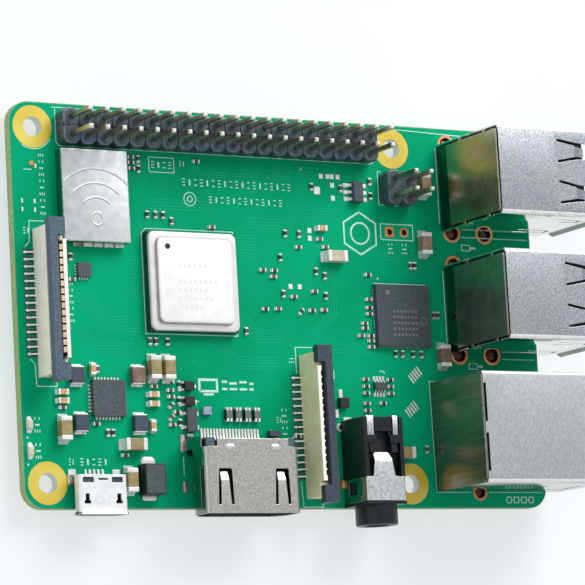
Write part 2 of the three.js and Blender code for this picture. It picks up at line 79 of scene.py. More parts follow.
def noise(nodes, links, size, stretch=(1, 1, 1), detail=3.0):
    """Noise with features of about size millimetres, fixed to the object."""
    place = nodes.new("ShaderNodeTexCoord")
    scale = nodes.new("ShaderNodeMapping")
    scale.inputs["Scale"].default_value = [1 / (size * MM * s) for s in stretch]
    texture = nodes.new("ShaderNodeTexNoise")
    texture.inputs["Scale"].default_value = 1
    texture.inputs["Detail"].default_value = detail
    links.new(place.outputs["Object"], scale.inputs["Vector"])
    links.new(scale.outputs["Vector"], texture.inputs["Vector"])
    return texture.outputs["Fac"]


def spread(nodes, links, value, low, high, sharp=0.18):
    """The middle of a noise, stretched from low to high."""
    reach = nodes.new("ShaderNodeMapRange")
    reach.inputs["From Min"].default_value = 0.5 - sharp
    reach.inputs["From Max"].default_value = 0.5 + sharp
    reach.inputs["To Min"].default_value = low
    reach.inputs["To Max"].default_value = high
    links.new(value, reach.inputs["Value"])
    return reach.outputs["Result"]


def look(name, dark, light, rough=(0.4, 0.5), metal=0.0, grain=0.6, stretch=(1, 1, 1),
         relief=0.0, relief_grain=0.15, relief_stretch=None, **sockets):
    """A finish mottled between two colours, with uneven gloss and a fine relief, all in millimetres."""
    made = bpy.data.materials.new(name)
    made.use_nodes = True
    nodes, links = made.node_tree.nodes, made.node_tree.links
    shader = nodes["Principled BSDF"]
    mottle = noise(nodes, links, grain, stretch)
    ramp = nodes.new("ShaderNodeValToRGB")
    ramp.color_ramp.elements[0].position = 0.34
    ramp.color_ramp.elements[1].position = 0.66
    ramp.color_ramp.elements[0].color = linear(dark)
    ramp.color_ramp.elements[1].color = linear(light)
    links.new(mottle, ramp.inputs["Fac"])
    links.new(ramp.outputs["Color"], shader.inputs["Base Color"])
    uneven = noise(nodes, links, grain * 0.6, stretch, 2.0)
    links.new(spread(nodes, links, uneven, *rough), shader.inputs["Roughness"])
    shader.inputs["Metallic"].default_value = metal
    for socket, value in sockets.items():
        shader.inputs[socket.replace("_", " ")].default_value = value
    if relief:
        bump = nodes.new("ShaderNodeBump")
        bump.inputs["Strength"].default_value = 1
        bump.inputs["Distance"].default_value = relief * MM
        links.new(noise(nodes, links, relief_grain, relief_stretch or stretch, 2.0), bump.inputs["Height"])
        links.new(bump.outputs["Normal"], shader.inputs["Normal"])
    return made


MASK = look("solder_mask", "009869", "00A877", (0.36, 0.46), grain=14, relief=0.002, relief_grain=0.6,
            Specular_IOR_Level=0.04)
TRACE = look("mask_over_copper", "05A478", "14B488", (0.34, 0.42), grain=4, Specular_IOR_Level=0.12)
LAMINATE = look("bare_laminate", "7C9A60", "9CB87C", (0.55, 0.75), grain=0.5, stretch=(1, 1, 0.3),
                relief=0.01, relief_grain=0.2)
GOLD_PAD = look("gold_pad", "D9BF3E", "E6D05E", (0.32, 0.4), 0.16, grain=4)
COPPER = look("copper_ring", "D08345", "EDB080", (0.3, 0.4), 0.6, grain=1.2)
SILK = look("silk_ink", "B2E2CF", "CEF0E1", (0.5, 0.65), grain=0.5)
SOLDER = look("solder", "E2E1DE", "FAF9F6", (0.24, 0.36), 0.3, grain=0.8, relief=0.004,
              relief_grain=0.5)
DULL_SOLDER = look("dull_solder", "96827C", "D6C8C0", (0.3, 0.45), 0.6, grain=0.9)
NICKEL = look("nickel_shell", "A5A8AA", "C9CCCD", (0.24, 0.36), 1.0, grain=0.35, relief=0.004,
              relief_grain=0.12)
SATIN = look("satin_nickel", "9CA2A9", "D2D5D7", (0.26, 0.36), 1.0, grain=0.13, stretch=(1, 2.2, 1),
             relief=0.003, relief_grain=0.12)
BRUSHED = look("brushed_nickel", "BCC1C2", "DCDFDE", (0.28, 0.36), 1.0, grain=0.14, stretch=(1, 3, 1),
               relief=0.002, relief_grain=0.12)
WARM = look("warm_nickel", "A09F99", "DDDBD5", (0.26, 0.4), 1.0, grain=0.13, relief=0.004,
            relief_grain=0.12)
MOTTLED = look("mottled_silver", "BEC3C5", "E8EAEA", (0.26, 0.38), 0.85, grain=0.5, relief=0.004,
               relief_grain=0.3)
# mirror walls, their colour darkened so that the board they reflect looks shaded: painted shade
SHADED_MIRROR = look("mirror_wall_painted_shade", "8E9088", "A6A8A0", (0.1, 0.16), 1.0, grain=2.5)
COVER = look("cover_steel", "84857A", "9A9B90", (0.26, 0.33), 0.96, grain=2.5)
# a paler, yellower copy of the cover steel for USB 1's plate: painted glow of reflected light
GLOWING_COVER = look("cover_steel_painted_glow", "A09C84", "B4AE94", (0.24, 0.3), 0.96, grain=2.5)
BLURRED = look("brushed_wall", "7E7C6E", "98968A", (0.16, 0.22), 0.86, grain=0.5, stretch=(1, 0.8, 12),
               relief=0.005, relief_grain=0.03, relief_stretch=(1, 10, 1))
# a dark strip under each USB rear plate: painted shade where the board lies in shadow
SHADE_UNDER_COVER = look("painted_shade_under_cover", "526258", "62726A", (0.14, 0.2), 1.0, grain=2)
POLISHED = look("polished_wall", "D8DAD4", "E4E6E0", (0.05, 0.09), 1.0, grain=2.5)
# dark green finish on the USB mouths' lips: a painted reflection of the shaded board
DIMMED_LIP = look("flared_lip_painted_reflection", "6A786E", "7A887E", (0.1, 0.16), 1.0, grain=2)
# dark brown inside plated holes, on their walls and on plugs set in them: painted shade
HOLE_SHADE = look("painted_hole_shade", "35190F", "6E3E2A", (0.15, 0.3), 0.3, grain=0.7)
# near-white finish on metal bends, spring tips, the jack clip's front and the connector legs: painted
# highlight
HIGHLIGHT_WHITE = look("white_painted_highlight", "F0F0EE", "FFFFFF", (0.2, 0.3), 0.35, grain=0.8)
TIN = look("bright_tin", "ECEEEE", "FBFCFC", (0.3, 0.4), 0.4, grain=0.8)
LID = look("lid_metal", "F2F0EF", "FAF9F8", (0.36, 0.42), 0.3, grain=1.5)
BRIM = look("lid_brim", "E4E0DE", "EEEBE9", (0.36, 0.42), 0.3, grain=1.5)
# a darker copy of the lid metal on the crown's sloping edge: painted shade
BEVEL = look("lid_bevel_painted_shade", "A8A3A2", "BCB7B6", (0.3, 0.4), 0.5, grain=1.5)
CAN = look("shield_metal", "C3C8CB", "D5D9DB", (0.42, 0.5), 0.5, grain=1.2, relief=0.002,
           relief_grain=0.3)
BLACK = look("black_plastic", "060C12", "0E1A24", (0.3, 0.42), grain=0.8, relief=0.003,
             Specular_IOR_Level=0.4)
HEADER = look("header_plastic", "32404B", "485762", (0.2, 0.34), grain=0.7, relief=0.003)
# a lighter copy of the header plastic on the chamfer facets: painted highlight
LIT_FACET = look("header_facet_painted_highlight", "55646E", "6E7D87", (0.24, 0.36), grain=0.7)
CONTACT_TAN = look("contact_tan", "CDB294", "E4CEB2", grain=0.8)
STRAW = look("straw_plastic", "EEE0B4", "F8EDC8", (0.5, 0.6), grain=1.5)
BEIGE = look("beige_plastic", "E8E3D0", "F2EEDF", (0.5, 0.6), grain=1.5)
# ivory: the real white body under the lamps, and the lighter top lip of the flat cable housings, which is
# painted highlight
IVORY_AND_HIGHLIGHT = look("ivory_plastic_and_painted_highlight", "F4EEDF", "FFFCF2", (0.45, 0.55), grain=0.8)
SLATE = look("slate_plastic", "3C4D5C", "536674", (0.42, 0.55), grain=0.3, relief=0.004,
             relief_grain=0.2)
# a darker copy of the slider plastic for the camera connector: painted shade
SHADED_SLATE = look("slider_plastic_painted_shade", "26323E", "3A4856", (0.42, 0.55), grain=0.3, relief=0.004,
                  relief_grain=0.2)
EPOXY = look("chip_epoxy", "3B4449", "4B555B", (0.5, 0.62), grain=0.35, relief=0.005,
             relief_grain=0.12)
INK_BLACK = look("dark_epoxy", "121518", "202428", (0.4, 0.55), grain=0.4)
# dark green strips under the connector legs: painted shadow
LEG_SHADOW = look("painted_leg_shadow", "1A4A3E", "285A4A", (0.5, 0.65), grain=0.6)
CARRIER = look("chip_carrier", "12291F", "1E3D2F", (0.35, 0.5), grain=0.8)
TAN = look("ceramic_body", "8E7E52", "A69668", (0.35, 0.5), grain=0.9)
PALE_TAN = look("ceramic_pale", "BDB299", "D2C8B0", (0.35, 0.5), grain=0.7)
BROWN = look("ceramic_brown", "8A755E", "A18B70", (0.35, 0.5), grain=0.7)
UMBER = look("ceramic_dark", "6F564B", "8B7368", (0.35, 0.5), grain=0.6)
COCOA = look("ceramic_cocoa", "4C3C34", "69554A", (0.35, 0.5), grain=0.5)
RESISTOR = look("resistor_top", "20201F", "33312E", (0.3, 0.5), grain=0.3)
FERRITE = look("ferrite_body", "323E4A", "424F5D", (0.35, 0.5), grain=0.6)
PALE_BLUE = look("coated_part", "7E90AA", "9FB0C4", (0.35, 0.5), grain=0.5)
LIGHT_PIPE = look("light_pipe", "DDE8D0", "F2F8E8", (0.12, 0.2), grain=1.0, Transmission_Weight=0.35)
LAMP_WINDOW = look("lamp_window", "C8C5A8", "DCD9C0", (0.25, 0.35), grain=0.8)
GOLD = look("gold_contact", "C99A3A", "E8C46A", (0.16, 0.28), 1.0, grain=0.8)
PIN = look("pin_plating", "9E9676", "C6BEA0", (0.2, 0.28), 0.95, grain=3)
# near-white tips on the plated pins: painted highlight
LIT_PIN_TIP = look("pin_tip_painted_highlight", "F0EAD8", "FFFDF4", (0.2, 0.3), 0.5, grain=1)
HOLE_WALL = look("plated_hole", "C3CCCE", "D2D9DA", (0.3, 0.4), 0.3, grain=2)
# black: the printed dot on the processor lid, and painted shade in connector slots, on the camera connector's
# contacts and on the jack's deck
INK_AND_SHADE = look("black_ink_and_painted_shade", "050607", "0B0D0E", (0.6, 0.8), grain=0.5)


# ---- solids ----
def rectangle(x, y):
    return [(x[0], y[0]), (x[1], y[0]), (x[1], y[1]), (x[0], y[1])]


def around(centre, half):
    return (centre - half, centre + half)


def circle(x, y, radius, sides=24, start=0.0, sweep=1.0):
    """Points round a circle, or along part of one when sweep is under 1."""
    last = sides if sweep == 1 else sides + 1
    turns = [2 * math.pi * (start + sweep * i / sides) for i in range(last)]
    return [(x + radius * math.cos(t), y + radius * math.sin(t)) for t in turns]


def rounded(x, y, radius, steps=5):
    """A rectangle with round corners."""
    points = []
    for cx, cy, quarter in ((x[1] - radius, y[0] + radius, 3), (x[1] - radius, y[1] - radius, 0),
                            (x[0] + radius, y[1] - radius, 1), (x[0] + radius, y[0] + radius, 2)):
        points += circle(cx, cy, radius, steps, quarter / 4, 0.25)
    return points


class Fold:
    """A folded sheet: a section of flat stretches and round bends, carried along x or y."""

    def __init__(self, corners, radius, axis="y"):
        self.corners = [Vector(c) for c in corners]
        self.radius = radius
        self.axis = axis
        self.starts = [0.0]
        for a, b in zip(self.corners, self.corners[1:]):
            self.starts.append(self.starts[-1] + (b - a).length)

    def cuts(self, along=()):
        """Where the flat sheet is divided so that it can bend, and at more places along it."""
        shares = (-1, -0.6, -0.2, 0.2, 0.6, 1)
        bends = [(0, start + self.radius * share) for start in self.starts[1:-1] for share in shares]
        return bends + [(1, place) for place in along]

    def at(self, distance, depth):
        """The place in the section, depth inside its outer face, which is on the right of travel."""
        i = 0
        while i < len(self.corners) - 2 and distance > self.starts[i + 1]:
            i += 1
        bend = min(range(1, len(self.starts) - 1), key=lambda k: abs(self.starts[k] - distance), default=0)
        if bend and abs(distance - self.starts[bend]) < self.radius:
            before = (self.corners[bend] - self.corners[bend - 1]).normalized()
            after = (self.corners[bend + 1] - self.corners[bend]).normalized()
            turn = before.angle_signed(after)
            side = 1 if turn > 0 else -1
            arc = self.radius / math.tan(abs(turn) / 2)
            right = Vector((before.y, -before.x)) * side
            centre = self.corners[bend] - before * self.radius + right * arc
            share = (distance - self.starts[bend] + self.radius) / (2 * self.radius)
            reach = Matrix.Rotation(-turn * share, 2) @ (-right)
            return centre + reach * arc - reach * side * depth
        way = (self.corners[i + 1] - self.corners[i]).normalized()
        place = self.corners[i] + way * (distance - self.starts[i])
        return place + Vector((way.y, -way.x)) * depth

    def shape(self, distance, along, depth):
        """A place on the flat sheet, folded."""
        section = self.at(distance, depth)
        return (along, section.x, section.y) if self.axis == "x" else (section.x, along, section.y)


class Piece:
    """One shown piece in the making, in board millimetres."""

    def __init__(self, name, body="board"):
        self.name = name
        self.body = body
        self.mesh = bmesh.new()
        self.looks = []
        self.place = Matrix()

    def put(self, x=0.0, y=0.0, z=0.0, turn=0.0):
        """What is added next is turned by that many degrees and moved there."""
        self.place = Matrix.Translation((x, y, z)) @ Matrix.Rotation(math.radians(turn), 4, "Z")

    def add(self, points, faces, finish):
        """New faces, all in one finish or each in its own."""
        finishes = finish if isinstance(finish, list) else [finish] * len(faces)
        verts = [self.mesh.verts.new(self.place @ Vector(p)) for p in points]
        for face, given in zip(faces, finishes):
            if given not in self.looks:
                self.looks.append(given)
            made = self.mesh.faces.new([verts[i] for i in face])
            made.material_index = self.looks.index(given)

    def loft(self, rings, finish, closed=False, first=None, last=None):
        """A skin through rings of points, capped at both ends or closed on itself.
        The lowest cap and band, and the highest band, can have finishes of their own."""
        n = len(rings[0])
        points = [p for ring in rings for p in ring]
        faces = [] if closed else [tuple(range(n)), tuple(range(len(points) - n, len(points)))]
        finishes = [first or finish, finish][:len(faces)]
        for k in range(len(rings) if closed else len(rings) - 1):
            a, b = k * n, (k + 1) % len(rings) * n
            faces += [(a + i, a + (i + 1) % n, b + (i + 1) % n, b + i) for i in range(n)]
            band = first if k == 0 else last if k == len(rings) - 2 else None
            finishes += [band or finish] * n
        self.add(points, faces, finishes)

    def stack(self, layers, finish, closed=False, first=None, last=None, axis="z"):
        """A skin through outlines in plan, each at its height. Along y they are in x-z, along x in y-z."""
        order = {"z": lambda a, b, c: (a, b, c), "y": lambda a, b, c: (a, c, b),
                 "x": lambda a, b, c: (c, a, b)}[axis]
        rings = [[order(a, b, height) for a, b in outline] for outline, height in layers]
        self.loft(rings, finish, closed, first, last)

    def prism(self, outline, z, finish, axis="z"):
        self.stack([(outline, height) for height in z], finish, axis=axis)

    def box(self, x, y, z, finish):
        """A block between two places on each axis, given in any order."""
        self.prism(rectangle(sorted(x), sorted(y)), sorted(z), finish)

    def mound(self, x, y, z, reach, height, finish, sides=12):
        """A low dome, such as a solder joint, as long as reach says and round at its ends."""
        rx, ry = reach if isinstance(reach, tuple) else (reach, reach)
        round_off = min(rx, ry) * 0.98
        layers = []
        for share, rise in ((1, 0), (0.92, 0.45), (0.66, 0.82), (0.25, 1)):
            drawn_in = round_off * (1 - share)
            plan = rounded(around(x, rx - drawn_in), around(y, ry - drawn_in), round_off * share, sides // 4)
            layers.append((plan, z + height * rise))
        self.stack(layers, finish)

    def turned(self, profile, x, y, finish, sides=24, closed=False):
        """A profile of (radius, height) turned about an upright axis."""
        self.stack([(circle(x, y, radius, sides), height) for radius, height in profile], finish, closed)

    def ring(self, x, y, outer, inner, z, finish, sides=32):
        """A ring between two radii and two heights."""
        low, high = z
        self.turned([(outer, low), (outer, high), (inner, high), (inner, low)], x, y, finish, sides, True)

    def strip(self, path, width, thickness, finish, axis="y"):
        """A bent strip: its middle line in x-z (or y-z), with a width across it."""
        path = [Vector(p) for p in path]
        near, far = [], []
        for i, p in enumerate(path):
            ahead = (path[min(i + 1, len(path) - 1)] - path[max(i - 1, 0)]).normalized()
            side = Vector((-ahead.y, ahead.x)) * thickness / 2
            near.append(tuple(p + side))
            far.append(tuple(p - side))
        self.prism(near + far[::-1], width, finish, axis)

    def sheet(self, outline, holes, depth, finish, cuts=(), shape=lambda a, b, c: (a, b, c)):
        """A plate cut to an outline with holes, divided at cuts, (axis, place), and bent by shape.
        The finish may be a function of the place on the flat plate."""
        flat = bmesh.new()
        for loop in [outline, *holes]:
            ring = [flat.verts.new((a, b, 0)) for a, b in loop]
            for i in range(len(ring)):
                flat.edges.new((ring[i - 1], ring[i]))
        bmesh.ops.triangle_fill(flat, edges=flat.edges[:], use_beauty=True)
        for axis, place in cuts:
            normal = (1, 0, 0) if axis == 0 else (0, 1, 0)
            everything = flat.verts[:] + flat.edges[:] + flat.faces[:]
            bmesh.ops.bisect_plane(flat, geom=everything, plane_co=[place * n for n in normal],
                                   plane_no=normal)
        flat.verts.index_update()
        n = len(flat.verts)
        points = [shape(v.co.x, v.co.y, level) for level in depth for v in flat.verts]
        faces = [[v.index + shift for v in f.verts] for shift in (0, n) for f in flat.faces]
        spots = [f.calc_center_median() for f in flat.faces] * 2
        for edge in flat.edges:
            if len(edge.link_faces) == 1:
                a, b = (v.index for v in edge.verts)
                faces.append((a, b, b + n, a + n))
                spots.append((edge.verts[0].co + edge.verts[1].co) / 2)
        finishes = [finish(spot.x, spot.y) if callable(finish) else finish for spot in spots]
        flat.free()
        self.add(points, faces, finishes)

    def done(self, *nodes, slot, edge=0.04, segments=2):
        """Turns the piece into an object with rounded edges, which rides on its body."""
        bmesh.ops.recalc_face_normals(self.mesh, faces=self.mesh.faces[:])
        for vert in self.mesh.verts:
            vert.co = vert.co * MM + CORNER
        data = bpy.data.meshes.new(self.name)
        self.mesh.to_mesh(data)
        self.mesh.free()
        data.shade_smooth()
        data.set_sharp_from_angle(angle=SHARP)
        piece = bpy.data.objects.new(self.name, data)
        bpy.context.scene.collection.objects.link(piece)
        for finish in self.looks:
            data.materials.append(finish)
        if edge:
            bevel = piece.modifiers.new("rounded_edges", "BEVEL")
            bevel.width = edge * MM
            bevel.segments = segments
            bevel.limit_method = "ANGLE"
            bevel.angle_limit = SHARP
            bevel.harden_normals = True
        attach(piece, self.body)
        if nodes:
            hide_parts(*nodes)


# ---- laminate, pads and printed marks ----
MOUNT_HOLES = [(x, y) for x in (3.5, 61.5) for y in (3.5, 52.5)]
MOUNT_HOLE = 1.375
MOUNT_PAD = 2.95
# holes that the sockets' tabs are soldered into: (x, y, radius)
USB_TABS, NETWORK_TAB = (71.2, 76.9), 73.3
TAB_HOLES = [(x, y, 1.15) for x in USB_TABS for y in (53.55, 40.45, 35.55, 22.45)]
TAB_HOLES += [(NETWORK_TAB, y, 0.9) for y in (2.3, 18.2)]
VIDEO_TABS = [(x, y) for x in (24.7, 39.3) for y in (3.0, 8.7)]
RESET_PADS = [(60.4, 40.15), (62.9, 40.15)]


def laminate():
    piece = Piece("board_laminate")
    holes = [circle(x, y, MOUNT_HOLE, 40) for x, y in MOUNT_HOLES]
    holes += [circle(x, y, radius, 20) for x, y, radius in TAB_HOLES]
    holes += [circle(x, y, 0.5, 18) for x, y in RESET_PADS + VIDEO_TABS]
    skin, pull, corner = 0.04, 0.12, 3
    outline = rounded((0, BOARD_X), (0, BOARD_Y), corner, 10)
    inner = rounded((pull, BOARD_X - pull), (pull, BOARD_Y - pull), corner - pull, 10)
    piece.sheet(outline, holes, (skin - THICK, -skin), LAMINATE)
    for depth in ((-skin, 0), (-THICK, skin - THICK)):
        piece.sheet(inner, holes, depth, MASK)
    piece.done("pcb", slot="solder_mask", edge=0)


def both_sides(thick):
    """The heights of a foil on top of the board and of one under it."""
    return ((0, thick), (-THICK - thick, -THICK))


def pads():
    gold = Piece("mounting_pads")
    for x, y in MOUNT_HOLES:
        for z in both_sides(0.03):
            gold.ring(x, y, MOUNT_PAD, MOUNT_HOLE + 0.02, z, GOLD_PAD, 48)
        gold.ring(x, y, MOUNT_HOLE + 0.01, MOUNT_HOLE - 0.03, (-THICK, 0), HOLE_WALL, 40)
    gold.done(slot="gold_contact", edge=0)
    plated = Piece("plated_holes")
    for x, y, radius in TAB_HOLES:
        for z in both_sides(0.035):
            plated.ring(x, y, radius + 0.34, radius - 0.02, z, COPPER)
        # the hole's wall and a plug inside it are dark brown: painted shade
        plated.ring(x, y, radius, radius - 0.06, (-THICK, 0.0), HOLE_SHADE)
        for z, height, finish in ((-0.75, 0.45, HOLE_SHADE), (-THICK - 0.02, -0.4, SOLDER)):
            plated.mound(x, y, z, radius - 0.08, height, finish, 16)
    for (x, y), square in zip(RESET_PADS, (True, False)):
        outline = rectangle(around(x, 0.75), around(y, 0.75)) if square else circle(x, y, 0.75, 28)
        plated.sheet(outline, [circle(x, y, 0.48, 20)], (0, 0.04), COPPER)
        plated.ring(x, y, 0.5, 0.44, (-THICK, 0.03), GOLD, 20)
        # a dark brown plug in the hole: painted shade
        plated.mound(x, y, -0.5, 0.45, 0.14, HOLE_SHADE)
    plated.done(slot="gold_contact", edge=0)


def mitres(points):
    """Each point of a path, with the mean of the normals of the stretches that meet there."""
    path = [Vector(p) for p in points]
    for i, p in enumerate(path):
        before = (p - path[i - 1]).normalized() if i else (path[1] - p).normalized()
        after = (path[i + 1] - p).normalized() if i + 1 < len(path) else before
        yield p, (Vector((-before.y, before.x)) + Vector((-after.y, after.x))) / 2


def line(piece, points, width, height, finish):
    """A flat track or printed line along points, mitred at its corners."""
    near, far = [], []
    for p, across in mitres(points):
        step = across * (width / 2) / max(across.length_squared, 0.3)
        near.append(p + step)
        far.append(p - step)
    for i in range(len(near) - 1):
        piece.prism([near[i], near[i + 1], far[i + 1], far[i]], (0, height), finish)


def trace_bundle(piece, points, count, pitch):
    """Parallel tracks that follow the same corners side by side."""
    for k in range(count):
        offset = (k - (count - 1) / 2) * pitch
        shifted = [p + across * offset / across.length_squared for p, across in mitres(points)]
        line(piece, shifted, 0.1, 0.018, TRACE)


def tracks():
    piece = Piece("copper_tracks")
    bundles = [
        ([(9.0, 24.5), (11.5, 22.0), (17.5, 22.0)], 5, 0.42),
        ([(17.0, 33.5), (19.4, 33.5)], 7, 0.5),
        ([(8.2, 29.0), (10.5, 29.0), (14.0, 25.5), (18.8, 25.5)], 6, 0.4),
        ([(22.0, 42.6), (30.0, 42.6), (33.0, 39.6)], 4, 0.45),
        ([(36.0, 40.5), (43.0, 40.5), (45.0, 42.5), (52.0, 42.5)], 4, 0.45),
        ([(34.8, 37.0), (38.0, 37.0)], 9, 0.42),
        ([(34.8, 27.0), (37.5, 24.3), (42.0, 24.3)], 5, 0.4),
        ([(30.0, 24.0), (33.5, 20.5), (40.5, 20.5)], 5, 0.42),
        ([(41.0, 48.4), (51.0, 48.4)], 3, 0.5),
        ([(46.5, 24.5), (50.0, 28.0), (50.0, 34.5)], 4, 0.45),
        ([(48.0, 22.5), (56.5, 22.5)], 2, 0.45),
        ([(27.0, 49.8), (29.5, 47.3), (44.0, 47.3)], 2, 0.4),
        ([(62.5, 33.5), (66.0, 37.0), (68.3, 37.0)], 4, 0.42),
        ([(66.6, 30.0), (68.8, 30.0)], 6, 0.45),
        ([(57.5, 38.0), (59.0, 36.5), (62.5, 36.5)], 3, 0.45),
        ([(16.5, 29.8), (18.9, 29.8)], 7, 0.36),
    ]
    for points, count, pitch in bundles:
        trace_bundle(piece, points, count, pitch)
    dice = random.Random(3)
    for _ in range(150):
        x, y = dice.uniform(5.5, 68), dice.uniform(11, 49)
        piece.prism(circle(x, y, dice.uniform(0.09, 0.15), 8), (0, 0.02), TRACE)
    piece.done(slot="solder_mask", edge=0)


def dashes(piece, x, y, count, pitch, size, turn=0.0):
    """A row of small dashes and blocks in place of a printed word."""
    across, tall = size[0] / 2, size[1] / 2
    for k in range(count):
        piece.put(x, y, 0, turn)
        start = (k - (count - 1) / 2) * pitch
        if k % 3 == 1:
            piece.box(around(start, across * 0.55), around(0, tall * 0.8), (0, 0.03), SILK)
            continue
        for level in ((-0.75, 0.75) if k % 3 else (-0.85, 0, 0.85)):
            piece.box(around(start, across), around(level * tall, 0.07), (0, 0.03), SILK)
    piece.put()


def silk():
    piece = Piece("printed_marks")

    def outline(points, width=0.12, closed=False):
        line(piece, points + points[:1] if closed else points, width, 0.025, SILK)

    # borders of the headers, chips and connectors
    for points in (
        [(6.6, 55.4), (BOARD_X - 22, 55.4)],
        [(63, 55.4), (75, 55.0)],
        [(7.05, 55.2), (7.05, 50.55), (7.55, 50.05), (57.7, 50.05), (58.3, 50.3)],
        [(19.6, 24.25), (34.2, 24.25), (34.2, 39.05), (20.3, 39.05), (19.6, 38.35), (19.6, 24.1)],
        [(5.0, 39.4), (2.4, 39.35), (2.3, 36.5), (1.6, 35.7)],
        [(1.7, 20.3), (2.4, 19.7), (2.5, 16.65), (5.55, 16.65), (5.55, 17.5)],
        [(46.2, 22.9), (43.4, 22.9), (43.4, 19.2)],
        [(43.2, 3.8), (43.4, 0.2), (46.6, 0.2), (46.6, 0.8)],
        [(24.5, 7.2), (24.5, 4.6)],
        [(58.9, 44.1), (58.9, 49.0), (59.5, 49.0)],
        [(58.9, 44.1), (63.2, 44.1)],
        [(69.2, 53.0), (69.2, 41.8)],
        [(69.2, 34.7), (69.2, 24.0)],
        [(72.9, 39.85), (84.4, 39.85)],
        [(78.6, 21.9), (84.4, 21.9)],
        [(66.8, 18.4), (65.65, 18.4), (65.85, 2.3), (71.7, 2.3)],
        [(74.8, 2.3), (84.5, 2.3)],
        [(1.9, 46.5), (3.1, 46.5)],
    ):
        outline(points)
    outline([(39.3, 10.6), (38.6, 11.0)], 0.2)
    outline([(57.1, 32.5), (66.0, 32.5)], 0.14)
    outline([(49.5, 18.5), (49.5, 19.7)], 0.3)
    outline([(27.4, 14.9), (26.9, 14.9), (26.9, 14.4)], 0.14)
    for x, y in (((21.35, 25.3), (47.1, 49.2)), ((58.9, 64.4), (39.0, 41.3))):
        outline(rectangle(x, y), closed=True)
    outline(circle(57.6, 19.2, 0.55, 32, 0.05, 0.3), 0.16)
    outline(circle(3.5, 52.5, 3.1, 32, 0.66, 0.26))
    for radius in (0.95, 0.4):
        outline(circle(27.6, 43.5, radius, 32), closed=True)
    # rows of marks: x, y, count, pitch, size of a mark and turn
    for row in (
        (23.3, 48.15, 4, 0.9, (0.5, 1.0)), (26.6, 48.5, 2, 0.5, (0.22, 0.8)),
        (35.3, 45.9, 19, 0.95, (0.42, 1.05)), (36.6, 43.55, 13, 0.95, (0.42, 0.95)),
        (42.7, 21.0, 2, 0.5, (0.2, 0.8), 90), (1.9, 38.0, 2, 0.55, (0.25, 0.9)),
        (4.6, 44.5, 10, 0.9, (0.35, 0.75), 90), (8.2, 28.3, 7, 0.85, (0.35, 0.8), 90),
        (41.0, 11.8, 6, 0.85, (0.35, 0.9), 90), (2.3, 11.4, 3, 0.85, (0.4, 0.85), 90),
        (2.3, 7.85, 3, 0.85, (0.4, 0.85), 90), (7.2, 6.4, 2, 0.5, (0.22, 0.95)),
        (10.6, 6.4, 5, 0.9, (0.45, 1.0)), (40.1, 12.5, 2, 0.5, (0.2, 0.8)),
        (60.4, 37.7, 3, 0.6, (0.28, 0.8), 90), (62.8, 37.7, 3, 0.6, (0.28, 0.8), 90),
    ):
        dashes(piece, *row)
    for x, y in ((0.75, 9.65), (0.7, 6.0), (46, 48.7), (57.9, 33.2), (26.9, 17.1), (8.7, 34.9)):
        piece.prism(circle(x, y, 0.14, 12), (0, 0.03), SILK)
    # a screen on its foot and two lines of blocks, for the video socket
    outline(rectangle((27.6, 30.4), (16.4, 18.0)), 0.34, True)
    outline([(28.2, 15.95), (29.8, 15.95)], 0.3)
    start = 31.2
    for k, length in enumerate((1.5, 2.2, 2.2, 1.2)):
        for y in (17.75 - 0.2 * (k % 2), 16.75):
            outline([(start, y), (start + length * 0.55, y)], 0.32)
        start += length * 0.62 + 0.25
    # a hexagonal nut, a plain mark of a maker's board
    for radius, sides in ((3.1, 6), (1.55, 28)):
        outline(circle(55.35, 39.75, radius, sides, 0.25), 0.25, True)
    # a plug for each pair of USB sockets and a net for the network socket
    for y in (38.3, 20.75):
        outline(rectangle((72.8, 74.2), around(y, 0.42)), 0.14, True)
        outline([(74.2, y), (75.2, y)], 0.34)
    for k in range(4):
        outline(rectangle(around(78.3 + 1.3 * k, 0.4), around(1.2, 0.4)), 0.14, True)
        if k:
            outline([(77.4 + 1.3 * k, 1.2), (77.9 + 1.3 * k, 1.2)], 0.14)
    piece.done(slot="solder_mask", edge=0)


# ---- pin headers ----
def pin_header(node, columns, first_x, middle_y, seam):
    """A moulded strip with a notch at each pin, and two rows of square pins with pointed ends."""
    top = span(node)[2][1]
    strip = Piece(node + "_strip")
    half = PITCH - 0.04
    cut, slope = 0.6, 0.28
    columns_x = [first_x + column * PITCH for column in range(columns)]
    for x in columns_x:
        left, right = around(x, PITCH / 2 - 0.04)
        for row in (-1, 1):
            notch, corner = row * cut * 0.45 * min(seam * 2, 1), row * cut
            layers = []
            for inset, z in ((0, 0.35), (0, PITCH - slope), (slope * 0.7, PITCH)):
                a, b = left + inset, right - inset
                near, far = middle_y + row * inset * 0.3, middle_y + row * (half - inset)
                layers.append(([(a, near + notch), (a, far - corner), (a + cut, far), (b - cut, far),
                                (b, far - corner), (b, near + notch), (b - cut / 2, near),
                                (a + cut / 2, near)], z))
            # the top facets are lighter: painted highlight
            strip.stack(layers, HEADER, last=LIT_FACET)
        strip.box(around(x, PITCH / 2), around(middle_y, half - cut), (0, PITCH - seam), HEADER)
    strip.done(node, slot="header_plastic", edge=0.05)
    pins = Piece(node + "_pins")
    joints = Piece(node + "_joints")
    side, tip, taper = 0.32, 0.18, 0.34
    shank = ((tip, TAIL), (side, TAIL + taper), (side, top - taper))
    point = ((side, top - taper), (0.3, top - 0.2), (tip, top))
    cone = [(radius, -THICK - depth) for radius, depth in ((0.8, 0.03), (0.62, 0.3), (0.4, 0.8), (0.33, 1.1))]
    for x in columns_x:
        for y in around(middle_y, PITCH / 2):
            # the pointed ends are near-white: painted highlight
            for levels, finish in ((shank, PIN), (point, LIT_PIN_TIP)):
                pins.stack([(rectangle(around(x, h), around(y, h)), z) for h, z in levels], finish)
            joints.mound(x, y, -THICK - 0.035, 0.86, 0.04, COPPER, 16)
            joints.turned(cone, x, y, SOLDER, 14)
    pins.done(slot="gold_contact", edge=0.03, segments=1)
    joints.done(slot="gold_contact", edge=0)


